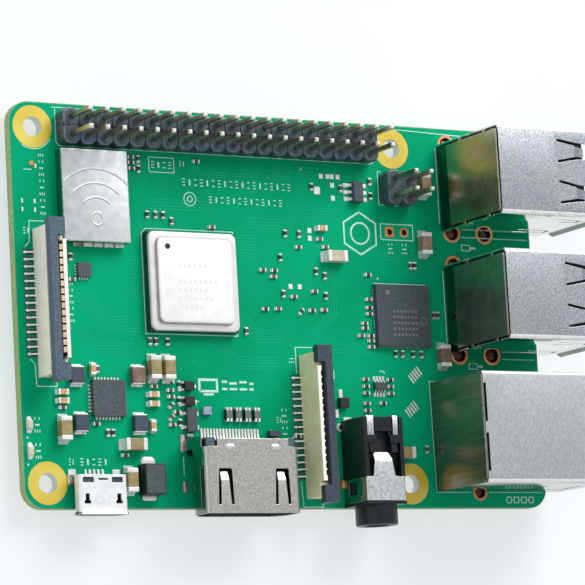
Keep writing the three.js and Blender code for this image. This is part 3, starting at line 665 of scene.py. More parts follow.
# ---- processor and radio ----
def processor():
    carrier = Piece("soc_carrier")
    carrier.box(*span("soc_substrate"), CARRIER)
    carrier.done("soc_substrate", slot="chip_epoxy", edge=0.06)
    x, y, (base, top) = span("soc_lid")
    cx, cy, half = middle(x), middle(y), (x[1] - x[0]) / 2
    brim = base + 0.52
    # steps up the lid: reach, corner radius and height
    lower = [(half, 0.95, base), (half, 0.95, brim - 0.16), (half - 0.05, 0.92, brim - 0.06),
             (half - 0.16, 0.85, brim), (6.2, 1.0, brim), (5.9, 0.9, brim - 0.02)]
    crown = [(6.06, 0.95, brim - 0.03), (6.02, 0.95, brim + 0.05), (5.9, 0.9, top - 0.12),
             (5.8, 0.85, top - 0.03), (5.6, 0.7, top)]
    lid = Piece("soc_pressed_lid")
    # the crown's slope takes the darker copy of the lid metal: painted shade
    for steps, finish in ((lower, BRIM), (crown[:3], BEVEL), (crown[2:], LID)):
        lid.stack([(rounded(around(cx, reach), around(cy, reach), radius, 8), z)
                   for reach, radius, z in steps], finish)
    lid.done("soc_lid", slot="lid_metal", edge=0)
    marks = Piece("soc_marks")
    marks.prism(circle(22.47, 36.25, 0.4, 28), (top, top + 0.02), INK_AND_SHADE)
    etched = look("etched_mark", "E4DDDB", "EDE8E6", (0.45, 0.5), 0.3, grain=0.3)
    for length, row_y in ((5.2, 33.6), (6.4, 31.4), (5.6, 30.2), (6.2, 29.0), (4.4, 27.8)):
        for k in range(int(length / 0.8)):
            start = 24.0 + 0.8 * k
            marks.box((start, start + 0.45), around(row_y, 0.28), (top, top + 0.006), etched)
    marks.done(slot="lid_metal", edge=0)


def radio_can():
    x, y, (_, top) = span("radio_shield")
    can = Piece("radio_can")
    steps = ((0.0, 0.12, 0.0), (0.0, 0.12, top - 0.16), (0.05, 0.1, top - 0.05), (0.16, 0.08, top))
    # the can's walls use the mirror finish darkened as painted shade
    can.stack([(rounded((x[0] + inset, x[1] - inset), (y[0] + inset, y[1] - inset), radius, 3), z)
               for inset, radius, z in steps], CAN, first=SHADED_MIRROR)
    centre = (middle(x), y[0] + 3.2)
    for radius in (3.0, 5.0, 7.0):
        ridge(can, circle(*centre, radius, 24, 0.125, 0.25), 0.42, top, 0.09, CAN)
    ring = circle(*centre, 0.9, 24)
    ridge(can, ring + ring[:1], 0.4, top, 0.09, CAN)
    can.done("radio_shield", slot="shield_metal", edge=0)
    feet = Piece("radio_solder")
    for k in range(5):
        start = x[0] + 2.0 + 1.62 * k
        feet.box((start, start + 1.36), (y[0] - 0.42, y[0] + 0.05), (0, 0.4), SOLDER if k else DULL_SOLDER)
    feet.done(slot="gold_contact", edge=0.05)


def ridge(piece, path, width, base, height, finish):
    """A low pressed ridge with sloping sides, along a path on a flat top."""
    points = [Vector(p) for p in path]
    rings = []
    for i, p in enumerate(points):
        ahead = (points[min(i + 1, len(points) - 1)] - points[max(i - 1, 0)]).normalized()
        across = Vector((-ahead.y, ahead.x))
        section = ((-0.5, 0), (-0.3, 0.75), (0, 1), (0.3, 0.75), (0.5, 0))
        rings.append([(*(p + across * width * a), base + height * h) for a, h in section])
    piece.loft(rings, finish)


# ---- small parts ----
def chip_part(piece, x, y, size, turn, body, end=0.22, under=False):
    """A two-ended part: its body between two plated ends, with a fillet of solder at each."""
    length, width, height = size
    piece.put(x, y, -THICK if under else 0, turn)
    if under:
        piece.place = piece.place @ Matrix.Rotation(math.pi, 4, "X")
    half, across = length / 2, width / 2
    inner = half - length * end
    lift = min(0.05, height * 0.12)
    piece.box(around(0, inner + 0.02), around(0, across - 0.015), (lift, height - 0.02), body)
    for side in (-1, 1):
        piece.box((side * inner, side * half), around(0, across), (lift, height), SOLDER)
        wedge = [(side * (half - 0.02), 0), (side * (half + height * 0.32), 0),
                 (side * (half + height * 0.14), height * 0.22), (side * (half - 0.02), height * 0.6)]
        piece.prism(wedge, around(0, across * 0.94), SOLDER, "y")
    piece.put()


SMALL = (1.0, 0.5, 0.36)
MEDIUM = (1.6, 0.8, 0.75)
# places of the smallest parts: (x, y, degrees)
SMALL_PLACES = [
    (20.6, 41.0, 90), (21.9, 41.0, 90), (23.1, 41.0, 90), (24.4, 40.2, 90), (30.8, 39.6, 0),
    (41.7, 35.7, 90), (38.7, 33.8, 0), (40.6, 33.8, 0), (40.4, 32.9, 0), (41.9, 30.5, 90),
    (38.8, 28.2, 0), (40.9, 28.3, 0), (42.7, 39.2, 90), (45.0, 39.2, 90), (44.8, 37.3, 0),
    (47.5, 33.9, 90), (48.9, 33.3, 90), (48.9, 30.4, 90), (43.6, 30.1, 0), (47.1, 31.0, 0),
    (46.5, 28.2, 0), (48.5, 28.35, 0), (44.7, 28.0, 45), (48.4, 38.6, 0), (49.3, 37.5, 0),
    (56.2, 33.7, 0), (56.1, 30.1, 0), (56.1, 28.9, 0), (56.1, 28.0, 0), (55.2, 26.6, 0),
    (55.2, 25.9, 0), (54.5, 24.8, 0), (56.1, 24.8, 0), (56.1, 24.1, 0), (56.1, 23.2, 0),
    (60.1, 22.3, 90), (61.3, 22.3, 90), (63.1, 22.3, 90), (64.5, 22.3, 90), (54.8, 18.5, 0),
    (54.8, 17.5, 0), (54.8, 16.5, 0), (58.9, 18.5, 0), (58.9, 17.5, 0), (58.9, 16.5, 0),
    (57.5, 15.1, 0), (54.8, 15.0, 0), (54.8, 14.0, 0), (64.5, 8.5, 90), (35.5, 25.0, 90),
    (22.8, 23.2, 90), (20.1, 23.2, 90), (21.0, 23.2, 90), (6.2, 13.8, 0), (20.4, 16.9, 0),
    (11.2, 11.6, 0), (12.9, 10.4, 90), (13.7, 10.4, 90), (15.4, 7.35, 0), (8.5, 31.45, 0),
    (8.4, 34.6, 90), (28.8, 48.9, 0), (47.5, 46.2, 90), (52.4, 46.2, 90), (57.4, 47.4, 90),
    (57.4, 45.3, 90), (18.4, 49.0, 0), (18.4, 48.2, 0), (18.5, 47.4, 0), (19.6, 48.8, 90),
    (19.6, 47.4, 90), (23.0, 17.6, 0), (24.3, 17.2, 90), (22.9, 16.4, 0), (23.0, 15.5, 0),
    (24.2, 15.0, 90), (22.9, 14.3, 45), (23.8, 13.4, 0), (22.9, 12.6, 45), (23.0, 11.6, 0),
    (24.2, 11.9, 90), (63.55, 35.3, 90), (64.25, 35.3, 90), (67.05, 28.1, 90), (67.75, 28.1, 90),
    (43.0, 10.2, 0), (11.7, 19.15, 90),
]
MEDIUM_PLACES = [
    (6.2, 15.9, 0), (6.2, 14.7, 0), (20.1, 15.75, 0), (20.1, 14.45, 0), (19.8, 11.4, 90),
    (10.9, 19.1, 90), (48.7, 40.15, 0),
]
BARE_PADS = [
    (43.2, 31.6), (44.7, 31.6), (46.85, 39.8), (46.85, 38.7), (48.5, 45.7), (51.1, 46.6),
    (51.1, 44.7), (49.3, 47.85), (50.4, 47.85), (51.1, 47.85), (52.1, 47.85),
]
WIDE_PAD = BARE_PADS[4]


def passives():
    small = Piece("small_chip_parts")
    bodies = (RESISTOR, COCOA, RESISTOR, COCOA, COCOA)
    for k, (x, y, turn) in enumerate(SMALL_PLACES):
        chip_part(small, x, y, SMALL, turn, bodies[k % len(bodies)])
    small.done(slot="ceramic_body", edge=0.03, segments=1)
    medium = Piece("medium_chip_parts")
    orange = look("ceramic_orange", "B88E60", "D8B488", (0.35, 0.5), grain=0.4, relief=0.008)
    for x, y, turn in MEDIUM_PLACES:
        chip_part(medium, x, y, MEDIUM, turn, orange)
    medium.done(slot="ceramic_body", edge=0.05)
    bare = Piece("bare_pads")
    for x, y in BARE_PADS:
        half = 0.5 if (x, y) == WIDE_PAD else 0.32
        bare.box(around(x, half), around(y, half * 1.1), (0, 0.07), SOLDER)
    # two slanting rows of bars
    for cx, cy in ((63.3, 19.3), (62.4, 14.3)):
        for k in range(5):
            step = (k - 2) * 0.48
            bare.put(cx + step * 0.75, cy + step * 0.66, 0, -52)
            bare.box(around(0, 0.73), around(0, 0.12), (0, 0.05), SOLDER)
    bare.put()
    bare.box(around(3.15, 0.32), around(47.35, 0.3), (0, 0.12), COPPER)
    bare.box(around(3.7, 0.16), around(47.0, 0.3), (0, 0.12), SOLDER)
    for x in (1.5, 3.4):
        for y in (40.9, 42.1):
            bare.box(around(x, 0.13), around(y, 0.3), (0, 0.05), SOLDER)
    bare.done(slot="gold_contact", edge=0.03)


def bulk_parts():
    shades = (TAN, TAN, TAN, TAN, TAN, PALE_TAN, BROWN, UMBER, TAN, BROWN)
    for k, shade in enumerate(shades, 1):
        node = f"bulk_capacitor_{k}"
        x, y, (_, height) = span(node)
        along_x, along_y = x[1] - x[0], y[1] - y[0]
        size = (max(along_x, along_y), min(along_x, along_y), height)
        piece = Piece(node + "_body")
        chip_part(piece, middle(x), middle(y), size, 90 if along_y > along_x else 0, shade, 0.2)
        piece.done(node, slot="ceramic_body", edge=0.14, segments=3)
    for k, shade in enumerate((FERRITE, UMBER, FERRITE, FERRITE), 1):
        node = f"inductor_{k}"
        x, y, (_, height) = span(node)
        piece = Piece(node + "_body")
        piece.box(x, (y[0] + 0.18, y[1] - 0.18), (0.05, height), shade)
        for edge, way in ends(y):
            piece.box((x[0] + 0.08, x[1] - 0.08), (edge, edge - 0.3 * way), (0, height - 0.12), SOLDER)
            piece.box((x[0] + 0.1, x[1] - 0.1), (edge, edge + 0.3 * way), (0, 0.14), SOLDER)
        piece.done(node, slot="ferrite_body", edge=0.08)


def epoxy_package(node, name, finish=EPOXY):
    x, y, (base, top) = span(node)
    piece = Piece(name)
    piece.box(x, y, (base + 0.02, top), finish)
    return piece, x, y, top


def edge_pads(piece, x, y, count, half, reach, height):
    """The pads that show round the four sides of a leadless package, half a millimetre apart."""
    for k in range(count):
        place = 0.75 + k * 0.5
        for edge, way in ends(y):
            out = (edge - 0.05 * way, edge + reach * way)
            piece.box(around(x[0] + place, half), out, (0, height), SOLDER)
        for edge, way in ends(x):
            out = (edge - 0.05 * way, edge + reach * way)
            piece.box(out, around(y[0] + place, half), (0, height), SOLDER)


def chips():
    piece, x, y, top = epoxy_package("lan_chip", "network_hub_chip")
    pale = look("chip_mark", "666C70", "7A8085", (0.5, 0.6), grain=0.3)
    skin = top - 0.01
    piece.ring(x[0] + 1.95, y[1] - 1.2, 0.4, 0.05, (skin, top + 0.008), pale)
    piece.ring(x[1] - 1.15, y[0] + 3.8, 0.55, 0.43, (skin, top + 0.008), pale)
    for row in range(5):
        for k in range(7):
            start = x[0] + 2.7 + 0.62 * k
            piece.box((start, start + 0.36), around(y[0] + 5.1 - 0.85 * row, 0.18), (skin, top + 0.006), pale)
    edge_pads(piece, x, y, 16, 0.11, 0.08, 0.06)
    piece.done("lan_chip", slot="chip_epoxy", edge=0.05)

    piece, x, y, _ = epoxy_package("power_manager", "power_manager_chip")
    edge_pads(piece, x, y, 8, 0.13, 0.42, 0.09)
    piece.done("power_manager", slot="chip_epoxy", edge=0.05)

    piece, x, y, _ = epoxy_package("clock_chip", "clock_crystal_chip")
    for k in range(4):
        place = 0.4 + 0.4 * k
        piece.box((x[0] - 0.3, x[0]), around(y[0] + place, 0.1), (0, 0.07), SOLDER)
        piece.box(around(x[0] + place, 0.1), (y[0] - 0.3, y[0]), (0, 0.07), SOLDER)
    piece.done("clock_chip", slot="chip_epoxy", edge=0.05)

    piece, x, y, _ = epoxy_package("usb_switch", "usb_power_switch")
    for k in range(4):
        for edge, way in ends(y):
            leg(piece, x[0] + 0.2 + 0.5 * k, edge, way, "y", 0.85, 0.24)
    piece.done("usb_switch", slot="chip_epoxy", edge=0.04)

    piece, x, y, _ = epoxy_package("header_switch", "header_power_switch")
    for k in range(3):
        for edge, way in ends(x):
            leg(piece, y[0] + 0.45 + 1.0 * k, edge, way, "x", 1.1, 0.4)
    piece.done("header_switch", slot="chip_epoxy", edge=0.05)

    piece, x, y, top = epoxy_package("power_diode", "power_diode_body", INK_BLACK)
    piece.box((x[0] + 0.12, x[1] - 0.12), (y[0] + 0.12, y[1] - 0.12), (top - 0.1, top + 0.005), EPOXY)
    for (edge, way), deep in zip(ends(y), (0.45, 0.7)):
        piece.mound(middle(x), edge + (deep - 0.2) * way, 0, (1.15, deep), 0.24, SOLDER)
    piece.done("power_diode", slot="chip_epoxy", edge=0.12, segments=3)


def lamps():
    for node, name in (("activity_led", "activity_lamp"), ("power_led", "power_lamp")):
        x, y, (_, height) = span(node)
        piece = Piece(name)
        piece.box((x[0] + 0.02, x[1] - 0.02), (y[0] + 0.24, y[1] - 0.24), (0.18, height), LAMP_WINDOW)
        piece.box(x, (y[0] + 0.1, y[1] - 0.1), (0.02, 0.2), IVORY_AND_HIGHLIGHT)
        for edge, way in ends(y):
            piece.box(x, (edge, edge - 0.26 * way), (0, 0.26), SOLDER)
            piece.mound(middle(x), edge + 0.1 * way, 0, (0.38, 0.26), 0.16, SOLDER)
        piece.done(node, slot="light_pipe", edge=0.05)


def leg(piece, place, edge_at, way, axis, reach, width):
    """A gull-wing lead, standing out from a package's side and down to its pad."""
    path = [(edge_at - 0.1 * way, 0.4), (edge_at + 0.2 * reach * way, 0.4),
            (edge_at + 0.42 * reach * way, 0.1), (edge_at + reach * way, 0.08)]
    piece.strip(path, around(place, width / 2), 0.11, SOLDER, "y" if axis == "x" else "x")
    pad = (edge_at + 0.4 * reach * way, edge_at + (reach + 0.1) * way)
    sides = (pad, around(place, width * 0.75))
    piece.box(*(sides if axis == "x" else sides[::-1]), (0, 0.06), SOLDER)


def small_packages():
    """Switches, arrays and regulators that stand beside the sockets."""
    piece = Piece("small_packages")
    for y in (17.0, 14.9):
        piece.box((24.9, 26.3), around(y, 0.62), (0.08, 0.95), INK_BLACK)
        for place in around(y, 0.48):
            leg(piece, place, 24.9, -1, "x", 0.62, 0.3)
        leg(piece, y, 26.3, 1, "x", 0.62, 0.3)
    regulator_x = (25.0, 26.5)
    piece.box(regulator_x, (10.6, 13.9), (0.08, 0.95), EPOXY)
    for y in (11.3, 13.2):
        for edge, way in ends(regulator_x):
            leg(piece, y, edge, way, "x", 0.6, 0.4)
    array_top = look("array_top", "5E6266", "787C80", (0.4, 0.5), grain=0.3)
    for k in range(4):
        x = 31.79 + 1.5 * k
        piece.box(around(x, 0.48), (12.35, 13.85), (0.02, 0.64), INK_BLACK)
        piece.box(around(x, 0.45), (12.45, 13.75), (0.64, 0.68), array_top)
        for pad_x in around(x, 0.27):
            for end in (12.33, 13.87):
                piece.box(around(pad_x, 0.16), around(end, 0.22), (0, 0.7), SOLDER)
    for x, y, z, finish in (
        ((27.75, 29.05), (13.05, 14.15), (0.02, 0.55), PALE_BLUE),
        ((38.1, 39.9), (10.1, 10.9), (0.02, 0.8), FERRITE),
        ((49.9, 51.4), (14.3, 15.7), (0.02, 0.9), INK_BLACK),
        ((50.12, 50.68), (15.75, 16.95), (0, 0.25), SOLDER),
        ((49.32, 49.88), (12.9, 14.1), (0, 0.25), SOLDER),
        ((25.0, 26.3), (8.9, 9.9), (0.02, 0.6), FERRITE),
        ((25.2, 26.1), (10.0, 10.4), (0.0, 0.3), SOLDER),
    ):
        piece.box(x, y, z, finish)
    piece.done(slot="chip_epoxy", edge=0.05)


# ---- flat cable connectors ----
def flat_cable_connector(kind, facing, shell, finish, slider):
    """The housing, its fifteen contacts and legs, and the latch that slides up out of it."""
    x, y, (_, wall_top) = span(kind + "_connector")
    wall_x = x[1] if facing < 0 else x[0]
    cy = middle(y)
    half, slot_half = (y[1] - y[0]) / 2, 8.1
    height, width = 3.9, x[1] - x[0]
    lip = wall_top - 0.1

    def across(a, b):
        return (wall_x + facing * a, wall_x + facing * b)

    housing = Piece(kind + "_housing")
    for reach, half_y, z in (((0.45, 2.05), half - 0.05, (0.05, 1.2)), ((2.05, width), half, (0.05, height)),
                             ((0, 0.45), half, (0.05, height)), ((0, 0.45), slot_half, (height - 0.1, lip))):
        housing.box(across(*reach), around(cy, half_y), z, shell)
    for end in (-1, 1):
        housing.box(across(0.4, 2.1), (cy + end * (half - 0.03), cy + end * 8.2), (1.1, height - 0.06), shell)
    # the top lip is lighter than the housing: painted highlight
    if kind == "camera":
        # the lip is scalloped, with a bay for each contact
        tooth, bay = 0.66, 0.5
        scallop = [(wall_x + facing * reach, cy + k - 7 + step) for k in range(15)
                   for step, reach in ((-0.5, tooth), (-0.38, 0.62), (-0.3, bay), (0.3, bay), (0.38, 0.62))]
        far = [(across(0, reach)[1], cy + side * slot_half)
               for side, reach in ((1, tooth), (1, 0), (-1, 0), (-1, tooth))]
        housing.prism(scallop + far, (lip, wall_top), IVORY_AND_HIGHLIGHT)
    else:
        housing.box(across(0, 0.55), around(cy, slot_half), (lip, wall_top), IVORY_AND_HIGHLIGHT)
        # a black sheet behind the contacts: painted shade
        housing.box(across(0.45, 0.52), around(cy, 7.8), (1.3, wall_top - 0.15), INK_AND_SHADE)
    housing.done(kind + "_connector", slot="beige_plastic", edge=0.04)

    contacts = Piece(kind + "_contacts")
    if kind == "display":
        blade = (across(0.46, 1.05), 0.37, wall_top - 0.08)
        foot_x, way, tail = wall_x + facing * width, facing, 1.25
    else:
        blade = (across(0.5, 1.24), 0.29, 3.8)
        foot_x, way, tail = wall_x, -facing, 1.15
    path = [(foot_x + way * reach, z) for reach, z in ((-0.1, 0.35), (0.5, 0.32), (0.8, 0.1), (tail, 0.08))]
    for k in range(15):
        place = cy + k - 7
        # a dark strip under each leg: painted shadow
        contacts.box((foot_x, foot_x + way * (tail + 0.35)), around(place, 0.44), (0, 0.02), LEG_SHADOW)
        contacts.box(blade[0], around(place, blade[1]), (1.3, blade[2]), finish)
        # the legs and their joints are near-white: painted highlight
        contacts.strip(path, around(place, 0.11), 0.12, HIGHLIGHT_WHITE, "y")
        contacts.mound(foot_x + way * (tail - 0.05), place, 0, (0.3, 0.2), 0.16, HIGHLIGHT_WHITE)
    # a black floor in the slot: painted shade
    contacts.box(across(0.5, 2.0), around(cy, slot_half), (1.22, 1.28), INK_AND_SHADE)
    contacts.done(slot="gold_contact", edge=0.03, segments=1)

    _, latch_y, (_, latch_top) = span(kind + "_latch")
    reach = (latch_y[1] - latch_y[0]) / 2
    rest = height + 0.1
    latch = Piece(kind + "_slider", kind + "_latch")
    bar = [(1.25, 0.0), (2.5, 0.0), (2.5, latch_top - rest), (1.3, latch_top - rest), (1.25, 0.9)]
    latch.prism([(wall_x + facing * a, rest + b) for a, b in bar], around(cy, reach - 2.35), slider, "y")
    latch.box(across(1.3, 1.8), around(cy, 7.75), (1.6, rest + 0.1), slider)
    for end in (-1, 1):
        outer, inner = cy + end * reach, cy + end * (reach - 2.4)
        latch.box(across(0.1, 2.5), (outer, inner), (rest, latch_top - 0.04), slider)
        latch.box(across(0.9, 1.9), (cy + end * (half + 0.1), outer), (2.4, rest + 0.1), slider)
    latch.done(kind + "_latch", slot="slate_plastic", edge=0.05)


# ---- stacked sockets ----
def smooth(value, start, end):
    share = min(max((value - start) / (end - start), 0), 1)
    return share * share * (3 - 2 * share)


def usb_stack(number):
    """A sleeve folded from one sheet, with spring fingers and flared lips, and a plate over its rear."""
    _, y, (_, top) = span(f"usb_{number}_shell")
    top -= 0.5
    cy = middle(y)
    half, low, bend = 6.55, 0.3, 0.6
    rear, lip, front = 69.5, 86.2, 87.1
    fold = Fold([(cy - half, low), (cy - half, top), (cy + half, top), (cy + half, low)], bend, "x")
    wall, roof_mid, length = fold.starts[1], fold.starts[1] + half, fold.starts[3]
    root, tip, slope = 82.6, 85.0, 0.42

    def shape(distance, along, depth):
        flare = 0.5 * smooth(along, lip - 0.1, front)
        on_finger = 2.1 < abs(distance - roof_mid) < 4.1 and root < along < tip
        return fold.shape(distance, along, depth - flare + (along - root) * slope * on_finger)

    def finish(distance, along):
        across = abs(distance - roof_mid)
        if across < half - bend:
            return SATIN
        # the rounded bends between roof and walls carry a painted highlight
        if across < half + bend * 0.7:
            return HIGHLIGHT_WHITE
        # the lips at the mouth carry a painted dark reflection
        return DIMMED_LIP if along > lip else POLISHED

    edge = [(0, rear), (0, lip), (2.7, lip), (2.7, front), (wall - 1.4, front), (wall - 1.4, lip),
            (wall + 0.95, lip), (wall + 0.95, front), (roof_mid, front)]
    outline = edge + [(length - s, a) for s, a in edge[:-1][::-1]]
    finger = [(79.7, 4.78), (83.0, 4.32), (85.3, 4.2), (85.3, 2.0), (83.0, 1.88), (79.7, 1.27), (79.7, 1.62),
              (82.6, 2.2), (83.0, 2.32), (84.9, 2.45), (84.9, 3.75), (83.0, 3.85), (82.6, 3.92), (79.7, 4.42)]
    holes = [[(roof_mid + side * s, a) for a, s in finger] for side in (-1, 1)]
    side_finger = [(79.6, 0), (85.2, 0.2), (85.2, 1.9), (79.6, 2.1), (79.6, 1.8), (84.8, 1.6), (84.8, 0.5),
                   (79.6, 0.3)]
    for start in (wall / 2 - 5.0, wall / 2 + 3.2):
        holes.append([(start + s, a) for a, s in side_finger])
        holes.append([(length - start - s, a) for a, s in side_finger])
    shell = Piece(f"usb_{number}_sleeve")
    cuts = fold.cuts((root, 83.2, 84.0, lip, 86.5, 86.8))
    shell.sheet(outline, holes, (0, 0.3), finish, cuts, shape)
    for tab_x in USB_TABS:
        for side in (-1, 1):
            wall_y = (cy + side * (half - 0.3), cy + side * half)
            shell.box(around(tab_x, 0.6), wall_y, (TAIL, 0.6), SATIN)
    shell.strip([(77.3, 1.0), (lip, 1.0), (front, 0.55)], around(cy, 6.2), 0.28, SATIN, "y")
    shell.done(f"usb_{number}_shell", slot="nickel_shell", edge=0.05, segments=2)

    cover = Piece(f"usb_{number}_back_cover")
    (cover_x, _, (bottom, cap)) = span(f"usb_{number}_rear_cover")
    narrow, tab_reach, shift, corner = 5.95, 6.35, -0.15, 0.25
    right = [(narrow, bottom)]
    for z0, z1 in ((6.3, 6.9), (12.6, 13.2)):
        right += [(narrow, z0), (tab_reach, z0), (tab_reach, z1), (narrow, z1)]
    right += [(narrow, cap - corner), (narrow - corner, cap)]
    outline = [(cy + shift + a, b) for a, b in right + [(-a, b) for a, b in right[::-1]]]
    # USB 1's plate carries the painted glow
    cover.prism(outline, cover_x, GLOWING_COVER if number == 1 else COVER, "x")
    # a dark strip under the plate: painted shade
    cover.box((cover_x[1], rear + 0.02), around(cy, 6.0), (0.1, bottom + 0.3), SHADE_UNDER_COVER)
    cover.done(f"usb_{number}_rear_cover", slot="nickel_shell", edge=0.06)

    contacts = Piece(f"usb_{number}_contacts")
    for tongue_top, tail_x in ((6.8, 71.5), (15.7, 73.0)):
        for start, place in ((77.6, -3.5), (78.0, -1.0), (78.0, 1.0), (77.6, 3.5)):
            path = [(start, tongue_top - 3.0), (83.2, tongue_top - 3.0), (83.9, tongue_top - 3.12),
                    (84.6, tongue_top - 2.95)]
            contacts.strip(path, around(cy + place, 0.5), 0.12, GOLD, "y")
            contacts.box(around(tail_x, 0.25), around(cy + place, 0.3), (TAIL, 0), SOLDER)
    contacts.done(slot="gold_contact", edge=0.03, segments=1)


def network_socket():
    """A sleeve with notches and springs, its rear folded up from a second sheet, and a front plate."""
    x, y, (_, top) = span("ethernet_shell")
    low, bend = 0.3, 0.45
    cy = middle(y)
    half = 7.95
    rear, front = x[0] + 0.28, x[1]
    fold = Fold([(cy - half, low), (cy - half, top), (cy + half, top), (cy + half, low)], bend, "x")
    wall, length = fold.starts[1], fold.starts[3]
    roof_mid = length / 2
    notch = rear + 0.42
    outline = [(0, rear), (0, front - 0.3), (length, front - 0.3), (length, rear)]
    for start, end in ((wall + 8.65, wall + 14.1), (wall + 1.6, wall + 7.0)):
        outline += [(end, rear), (end, notch), (start, notch), (start, rear)]
    slot = [(wall - 0.75, 78.8), (wall - 0.75, 86.2), (wall - 1.03, 86.2), (wall - 1.03, 78.8)]
    spring = [(3.2, 79.0), (8.4, 79.0), (8.4, 79.35), (3.55, 79.35), (3.55, 84.8), (8.4, 84.8), (8.4, 85.15),
              (3.2, 85.15)]
    holes = []
    for hole in (slot, spring):
        holes += [hole, [(length - s, a) for s, a in hole]]

    def finish(distance, along):
        across = abs(distance - roof_mid)
        if across < half - bend:
            return BRUSHED
        # the bends carry a painted highlight, the walls the mirror finish darkened as painted shade
        return HIGHLIGHT_WHITE if across < half + bend * 0.7 else SHADED_MIRROR

    shell = Piece("network_sleeve")
    shell.sheet(outline, holes, (0, 0.3), finish, fold.cuts(), fold.shape)
    back = Fold([(x[0], low), (x[0], top), (x[0] + 0.6, top)], 0.3)
    tall = back.starts[1]
    right = [(0, half), (tall - 0.9, half), (tall - 0.5, half - 0.5), (tall + 0.3, half - 0.5)]
    face = [(s, cy - a) for s, a in right] + [(s, cy + a) for s, a in right[::-1]]
    shell.sheet(face, [], (0, 0.28), BLURRED, back.cuts(), back.shape)
    plug = [(cy - 5.95, 3), (cy - 3.2, 3), (cy - 3.2, 1.4), (cy + 3.2, 1.4), (cy + 3.2, 3), (cy + 5.95, 3),
            (cy + 5.95, 10.6), (cy - 5.95, 10.6)]
    windows = [rectangle(around(cy + side * 5.4, 1.55), (0.9, 2.75)) for side in (-1, 1)]
    mouth = rounded(around(cy, half - 0.02), (low, top - 0.02), 0.4, 4)
    shell.sheet(mouth, [plug, *windows], (0, 0.3), SATIN, (), lambda a, b, c: (front - c, a, b))
    for side in (-1, 1):
        shell.box(around(NETWORK_TAB, 0.55), (cy + side * (half - 0.3), cy + side * half), (TAIL, 1), SATIN)
    shell.done("ethernet_shell", slot="nickel_shell", edge=0.05)


# ---- video and power sockets ----
def d_section(cx, half, low, top, foot, taper):
    """The flared D outline of a socket, from the middle of its floor round and back."""
    left = [(-half + foot, low), (-half, low + taper), (-half, top)]
    right = [(-a, b) for a, b in left[::-1]]
    return [(cx + a, b) for a, b in [(0, low), *left, *right, (0, low)]]


def video_socket():
    cx, half, low, top = 32.0, 7.45, 0.5, 6.0
    front, rear, roof_rear = -1.2, 8.0, 9.1
    fold = Fold(d_section(cx, half, low, top, 1.5, 1.8), 0.72)
    corner, length = fold.starts[3], fold.starts[-1]
    mid = corner + half
    springs = [mid + over for over in (-4.4, 4.6)]

    def near_spring(distance, reach):
        return any(abs(distance - spring) < reach for spring in springs)

    def shape(distance, along, depth):
        sunk = near_spring(distance, 0.85) and 0.0 < along < 4.52
        return fold.shape(distance, along, depth + 0.3 * smooth(along, 3.3, 4.5) * sunk)

    def finish(distance, along):
        # the spring tips carry a painted highlight
        if near_spring(distance, 0.7) and 3.4 < along < 4.6:
            return HIGHLIGHT_WHITE
        # the side walls use the mirror finish darkened as painted shade
        return WARM if abs(distance - mid) < half + 0.2 else SHADED_MIRROR

    outline = [(0, front), (length, front), (length, rear), (mid + 5.9, rear), (mid + 5.9, roof_rear),
               (mid - 5.4, roof_rear), (mid - 5.4, rear), (0, rear)]
    gap = [(-1.2, 0.0), (-0.95, 4.75), (-0.8, 4.95), (0.95, 4.95), (1.1, 4.75), (1.25, 0.0), (0.82, 0.0),
           (0.5, 4.52), (-0.6, 4.52), (-0.8, 0.0)]
    holes = [[(spring + a, b) for a, b in gap] for spring in springs]
    holes += [rectangle((s, s + 0.4), (-0.2, 5.2)) for s in (corner - 1.5, length - corner + 1.1)]
    shell = Piece("video_sleeve")
    shell.sheet(outline, holes, (0, 0.28), finish, fold.cuts((3.3, 3.6, 3.9, 4.2)), shape)
    dimple = ((0.9, 0.52, 0), (0.84, 0.47, 0.09), (0.6, 0.32, 0.14), (0.2, 0.1, 0.16))
    for over in (-3.4, 3.8):
        shell.stack([([(cx + over + rx * a, 7.85 + ry * b) for a, b in circle(0, 0, 1, 20)], top - 0.02 + z)
                     for rx, ry, z in dimple], MOTTLED)
    for side in (-1, 1):
        wall_x = cx + side * half
        shell.box((wall_x, wall_x - side * 0.22), (7.9, 9.5), (0.0, 5.0), SHADED_MIRROR)
        for tab_y, width, deep in ((3.0, 0.38, 0.85), (9.05, 0.45, 1.3)):
            shell.box(around(cx + side * 7.3, 0.15), around(min(tab_y, 8.7), 0.5), (TAIL, 0.05), WARM)
            shell.mound(cx + side * 7.5, tab_y, 0, (width, deep), 0.3, DULL_SOLDER, 24)
    shell.done("hdmi_shell", slot="nickel_shell", edge=0.05)
    leads = Piece("video_leads")
    path = [(8.8, 1.2), (9.4, 1.15), (9.75, 0.2), (10.2, 0.1), (11.05, 0.08)]
    for k in range(19):
        place = 27.5 + 0.5 * k
        leads.strip(path, around(place, 0.13), 0.12, SOLDER, "x")
        leads.box(around(place, 0.16), (10.0, 11.15), (0, 0.07), SOLDER)
        if 28.9 < place < 35.6:
            leads.box(around(place, 0.12), (0.1, 4.5), (4.1, 4.2), GOLD)
    leads.done(slot="gold_contact", edge=0)
    insulator = Piece("video_insulator")
    for x, y, z, finish in (
        ((25.05, 38.95), (7.3, 8.95), (0.02, 5.2), BLACK), ((28.6, 35.9), (-0.1, 7.4), (3.3, 4.12), BLACK),
        ((25.6, 38.4), (0.6, 7.4), (0.9, 1.3), BLACK), ((25.1, 26.5), (8.05, 9.25), (0.3, 5.6), SLATE),
        ((38.0, 39.1), (8.05, 9.25), (0.3, 5.6), SLATE),
    ):
        insulator.box(x, y, z, finish)
    insulator.done("hdmi_insulator", slot="black_plastic", edge=0.06)


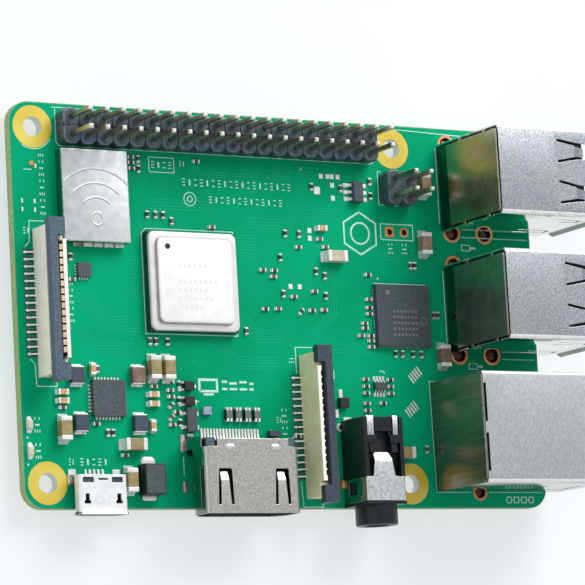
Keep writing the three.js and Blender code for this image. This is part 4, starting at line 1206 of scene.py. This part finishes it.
def power_socket():
    cx, half, low, top = 10.55, 3.65, 0.15, 2.55
    front, rear = -0.95, 4.45
    fold = Fold(d_section(cx, half, low, top, 0.9, 0.9), 0.32)
    mid, length = fold.starts[3] + half, fold.starts[-1]

    def shape(distance, along, depth):
        return fold.shape(distance, along, depth - 0.2 * smooth(-along, 0.45, 0.95))

    def finish(distance, along):
        # the lower walls and the front lip use the mirror finish darkened as painted shade
        return TIN if abs(distance - mid) < half + 1.4 and along > -0.62 else SHADED_MIRROR

    keyhole = [(-0.5, 0.5), (0.5, 0.5), (0.5, 0.92), (0.3, 1.0), (0.3, 1.85), (-0.3, 1.85), (-0.3, 1.0),
               (-0.5, 0.92)]
    holes = []
    for side in (-1, 1):
        holes.append([(mid + side * 2.4 + a, b) for a, b in keyhole])
        holes.append(rounded(around(mid + side * 2.2, 0.85), (3.35, 4.1), 0.18, 3))
    holes.append(rectangle(around(mid + 0.05, 0.72), (3.68, 3.95)))
    shell = Piece("power_sleeve")
    shell.sheet(rectangle((0, length), (front, rear)), holes, (0, 0.24), finish,
                fold.cuts((-0.45, -0.6, -0.75)), shape)
    for side in (-1, 1):
        shell.box((cx + side * 3.4, cx + side * 3.9), (3.4, 4.4), (0.05, 0.7), DULL_SOLDER)
    shell.done("micro_usb_shell", slot="nickel_shell", edge=0.04)
    leads = Piece("power_leads")
    for k in range(5):
        place = 9.25 + 0.65 * k
        path = [(4.3, 0.5), (4.6, 0.45), (4.75, 0.12), (5.3, 0.08)]
        leads.strip(path, around(place, 0.15), 0.12, SOLDER, "x")
        leads.box(around(place, 0.18), (4.7, 5.4), (0, 0.06), SOLDER)
        leads.box(around(place, 0.13), (0.1, 2.2), (1.74, 1.82), GOLD)
    for side in (-1, 1):
        for near, far, y, z, finish in ((2.8, 3.9, (4.6, 5.4), (0, 0.1), SOLDER),
                                        (3.7, 4.06, (3.2, 4.7), (0, 0.06), COPPER),
                                        (1.3, 3.1, (3.3, 4.15), (2.26, 2.29), FERRITE)):
            leads.box((cx + side * near, cx + side * far), y, z, finish)
        leads.mound(cx + side * 3.84, 3.9, 0, (0.22, 0.55), 0.26, SOLDER)
    leads.done(slot="gold_contact", edge=0.03, segments=1)


# ---- audio jack ----
def audio_jack():
    cx, axis_z, top, half, deck = 53.4, 3.1, 6.2, 3.25, 5.05
    body = Piece("jack_body")
    for half_x, y, z, finish in (
        (half, (0.02, 0.45), (0, top), BLACK), (2.95, (0.4, 4.0), (0, top - 0.3), BLACK),
        (half, (4.0, 8.7), (0, deck), BLACK), (half, (8.65, 12.3), (0, deck), BLACK),
        (1.4, (10.3, 12.3), (5.0, top), BLACK), (2.55, (4.1, 9.65), (deck, 5.09), INK_AND_SHADE),
    # the last plate, black, on the deck: painted shade
    ):
        body.box(around(cx, half_x), y, z, finish)
    for side in (-1, 1):
        for near, far, y, height in ((2.62, half, (4.0, 12.3), top), (1.3, 2.3, (7.3, 8.7), top - 0.15),
                                     (1.08, 2.62, (8.65, 9.7), top), (1.08, 2.62, (9.7, 12.3), 5.78)):
            body.box((cx + side * near, cx + side * far), y, (5.0, height), BLACK)
    body.ring(cx, 11.2, 0.75, 0.6, (top, top + 0.06), BLACK, 28)
    barrel = ((3.0, 0.3), (3.0, -2.6), (2.85, -2.78), (2.3, -2.8), (1.95, -2.7), (1.8, -2.5), (1.8, 0.3))
    body.stack([(circle(cx, axis_z, radius, 48), along) for radius, along in barrel], BLACK, True, axis="y")
    body.done("jack_housing", slot="black_plastic", edge=0.07)
    liner = Piece("jack_bore")
    tube = ((1.8, -2.3), (1.8, 0.2), (1.6, 0.2), (1.6, -2.3))
    liner.stack([(circle(cx, axis_z, radius, 32), along) for radius, along in tube], NICKEL, True, axis="y")
    liner.done(slot="nickel_shell", edge=0)

    fold = Fold([(cx - half, 0), (cx - half, top), (cx + half, top), (cx + half, 0)], 0.3)
    mid, length = fold.starts[1] + half, fold.starts[-1]

    def shape(distance, along, depth):
        sunk = abs(distance - mid) < 2.4 and along > 4
        return fold.shape(distance, along, depth + 0.6 * smooth(along, 6.1, 7.4) * sunk)

    def finish(distance, along):
        # the side walls use the mirror finish darkened as painted shade, and the clip's front a painted
        # highlight
        if abs(distance - mid) > half + 0.1:
            return SHADED_MIRROR
        return HIGHLIGHT_WHITE if along > 6.3 else MOTTLED

    outline = [(0, 0.5), (length, 0.5), (length, 3.9), (mid + 1.75, 3.9), (mid + 1.58, 4.1),
               (mid + 1.05, 7.15), (mid + 0.8, 7.35), (mid - 1.3, 7.35), (mid - 1.55, 7.15),
               (mid - 1.95, 4.1), (mid - 2.1, 3.9), (0, 3.9)]
    window = rectangle((1.5, 3.5), (1.6, 3.3))
    other = [(length - a, b) for a, b in window]
    clip = Piece("jack_front_clip")
    cuts = fold.cuts([6.1 + 0.2 * k for k in range(7)])
    clip.sheet(outline, [window, other], (0, 0.22), finish, cuts, shape)
    clip.done("jack_clip", slot="nickel_shell", edge=0.04)
    for node in ("jack_contact_left", "jack_contact_right"):
        strip_x, _, (_, contact_top) = span(node)
        piece = Piece(node + "_strip")
        path = [(9.75, contact_top - 0.12), (12.2, contact_top - 0.12), (12.45, contact_top - 0.2),
                (12.5, contact_top - 0.5), (12.5, -0.2)]
        piece.strip(path, (strip_x[0] + 0.03, strip_x[1] - 0.03), 0.18, NICKEL, "x")
        piece.done(node, slot="nickel_shell", edge=0.04)
    feet = Piece("jack_solder")
    for x in (50.0, 56.8):
        feet.mound(x, 3.4, 0, (0.4, 0.7), 0.55, COPPER, 14)
    for x, height in (((54.0, 56.1), 0.35), ((50.6, 52.0), 0.3)):
        feet.box(x, (12.4, 12.95), (0, height), SOLDER)
    feet.ring(50.1, 11.5, 0.62, 0.3, (0, 0.2), SOLDER, 20)
    feet.done(slot="gold_contact", edge=0.04)


# ---- underside ----
def underside():
    memory = Piece("memory_package")
    x, y, (low, high) = span("ram_chip")
    memory.box(x, y, (low, high - 0.05), EPOXY)
    for k in (0, 1, 2, 9, 10, 11):
        for j in range(12):
            memory.mound(x[0] + 0.9 + 0.93 * j, y[0] + 0.9 + 0.93 * k, high - 0.1, 0.22, 0.1, SOLDER, 6)
    memory.done("ram_chip", slot="chip_epoxy", edge=0.06)
    card_slot()
    parts = Piece("underside_chip_parts")
    dice = random.Random(11)
    spots = [(20.5 + 1.5 * i, y) for i in range(10) for y in (23.6, 39.4)]
    spots += [(36.0 + 2.2 * i, 20.0 + 4.0 * j) for i in range(7) for j in range(6)]
    spots += [(55.5 + 2.0 * i, 24.0 + 3.2 * j) for i in range(6) for j in range(3)]
    for x, y in spots:
        if dice.random() < 0.75:
            chip_part(parts, x, y, SMALL, dice.choice((0, 90)), dice.choice((COCOA, RESISTOR)), under=True)
    parts.done(slot="ceramic_body", edge=0.03, segments=1)
    points = Piece("test_points")
    for _ in range(34):
        x, y = dice.uniform(6, 78), dice.uniform(6, 48)
        points.prism(circle(x, y, 0.6, 20), (-THICK - 0.03, -THICK), GOLD_PAD)
    joints = [(x, y, 0.8, 0.3) for x, y in ((50.7, 3.6), (56.1, 3.6), (50.7, 12.4), (55.4, 12.4))]
    joints += [(68.2 + 2.0 * (k % 2), 6.7 + 1.02 * k, 0.7, 0.25) for k in range(8)]
    for x, y, foot, tip in joints:
        cone = [(foot, -THICK), (foot - 0.2, -THICK - 0.3), (tip, -THICK - 0.9)]
        points.turned(cone, x, y, SOLDER, 14)
    points.done(slot="gold_contact", edge=0)


def card_slot():
    x, y, (low, high) = span("card_slot_shell")
    cy = middle(y)
    cage = Piece("card_slot_cage")
    outline = [(x[0], y[0]), (x[1], y[0]), (x[1], y[1]), (x[0], y[1]), (x[0], y[1] - 2.4),
               (x[0] + 1.1, y[1] - 3.2), (x[0] + 1.1, y[0] + 3.2), (x[0], y[0] + 2.4)]
    holes = [rectangle(around(x[0] + 8.2, 1.3), around(cy + shift, 0.2)) for shift in (-3.2, 3.2)]
    holes += [rounded(around(x[0] + 12.6, 0.8), around(cy + shift, 0.45), 0.2, 3) for shift in (-3.2, 0, 3.2)]
    cage.sheet(outline, holes, (low, low + 0.2), NICKEL)
    for edge, way in ends(y):
        cage.box(x, (edge, edge - 0.2 * way), (low, high), NICKEL)
        for foot_x in (x[0] + 1.2, x[1] - 1.6):
            cage.box(around(foot_x, 0.7), (edge, edge + 0.55 * way), (high - 0.2, high), SOLDER)
    cage.box((x[1] - 0.2, x[1]), y, (low, high), NICKEL)
    cage.done("card_slot_shell", slot="nickel_shell", edge=0.05)
    contacts = Piece("card_slot_contacts")
    for k in range(8):
        place = y[0] + 2.0 + 1.1 * k
        contacts.box((x[1] - 3.0, x[1] + 0.9), around(place, 0.2), (high - 0.34, high - 0.24), GOLD)
        contacts.box((x[1] + 0.1, x[1] + 1.0), around(place, 0.25), (high - 0.24, high), SOLDER)
    contacts.done(slot="gold_contact", edge=0)


# ---- CAD nodes that are shown as they are ----
CARRIED_OVER = {
    "soc_die": FERRITE, "radio_chip": EPOXY, "usb_1_housing": BLACK, "usb_2_housing": BLACK,
    "usb_1_divider": SATIN, "usb_2_divider": SATIN, "ethernet_housing": BLACK,
    "ethernet_magnetics": EPOXY, "ethernet_contacts": GOLD, "ethernet_lamp_low": LIGHT_PIPE,
    "ethernet_lamp_high": LIGHT_PIPE, "micro_usb_insulator": BLACK,
    "card_slot_base": BLACK,
}


def carry_over():
    for name, finish in CARRIED_OVER.items():
        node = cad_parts[name]
        node.data.materials.clear()
        node.data.materials.append(finish)


# ---- floor, light and camera ----
def studio():
    scene = bpy.context.scene
    scene.view_settings.view_transform = "Standard"
    world = bpy.data.worlds.new("studio")
    scene.world = world
    world.use_nodes = True
    world.node_tree.nodes["Background"].inputs["Color"].default_value = linear("F4F7FA")
    world.node_tree.nodes["Background"].inputs["Strength"].default_value = 0.66
    bpy.ops.mesh.primitive_plane_add(size=6)
    floor = bpy.context.object
    floor.name = "studio_floor"
    paper = look("floor_paper", "96989A", "9A9C9E", (0.6, 0.7), grain=60, Specular_IOR_Level=0.1,
                 Emission_Color=linear("F6F8FA"), Emission_Strength=0.66)
    floor.data.materials.append(paper)

    def softbox(name, place, size, power, colour="FFFFFF"):
        data = bpy.data.lights.new(name, "AREA")
        data.shape = "RECTANGLE"
        data.size, data.size_y = size
        data.energy = power
        data.color = linear(colour)[:3]
        light = bpy.data.objects.new(name, data)
        scene.collection.objects.link(light)
        light.location = place
        light.rotation_euler = (-Vector(place)).to_track_quat("-Z", "Y").to_euler()

    softbox("key", (0.3, 0.5, 0.43), (0.4, 0.4), 4.6)
    softbox("fill", (-0.5, 0.1, 0.4), (0.4, 0.5), 0.3, "F2F6FF")


def camera():
    """It stands 0.4 m above the board and to its left, and looks across it."""
    place = Vector((-196.10, -41.65, 399.02)) * MM + CORNER
    right = Vector((0.8604, -0.0553, 0.5066))
    up = Vector((-0.0310, 0.9866, 0.1604))
    back = right.cross(up).normalized()
    up = back.cross(right).normalized()
    data = bpy.data.cameras.new("view")
    data.lens = 204.4
    data.sensor_width = 36
    data.clip_start = 0.01
    data.clip_end = 20
    made = bpy.data.objects.new("view", data)
    bpy.context.scene.collection.objects.link(made)
    turn = Matrix((right.normalized(), up, back)).transposed().to_4x4()
    made.matrix_world = Matrix.Translation(place) @ turn
    bpy.context.scene.camera = made


laminate()
pads()
tracks()
silk()
pin_header("gpio_header", columns=20, first_x=8.37, middle_y=52.5, seam=0.5)
pin_header("poe_header", columns=2, first_x=60.35, middle_y=46.4, seam=0.1)
processor()
radio_can()
passives()
bulk_parts()
chips()
lamps()
small_packages()
flat_cable_connector("display", -1, BEIGE, CONTACT_TAN, SLATE)
# the camera connector's contacts are black: painted shade
flat_cable_connector("camera", 1, STRAW, INK_AND_SHADE, SHADED_SLATE)
usb_stack(1)
usb_stack(2)
network_socket()
video_socket()
power_socket()
audio_jack()
underside()
carry_over()
studio()
camera()
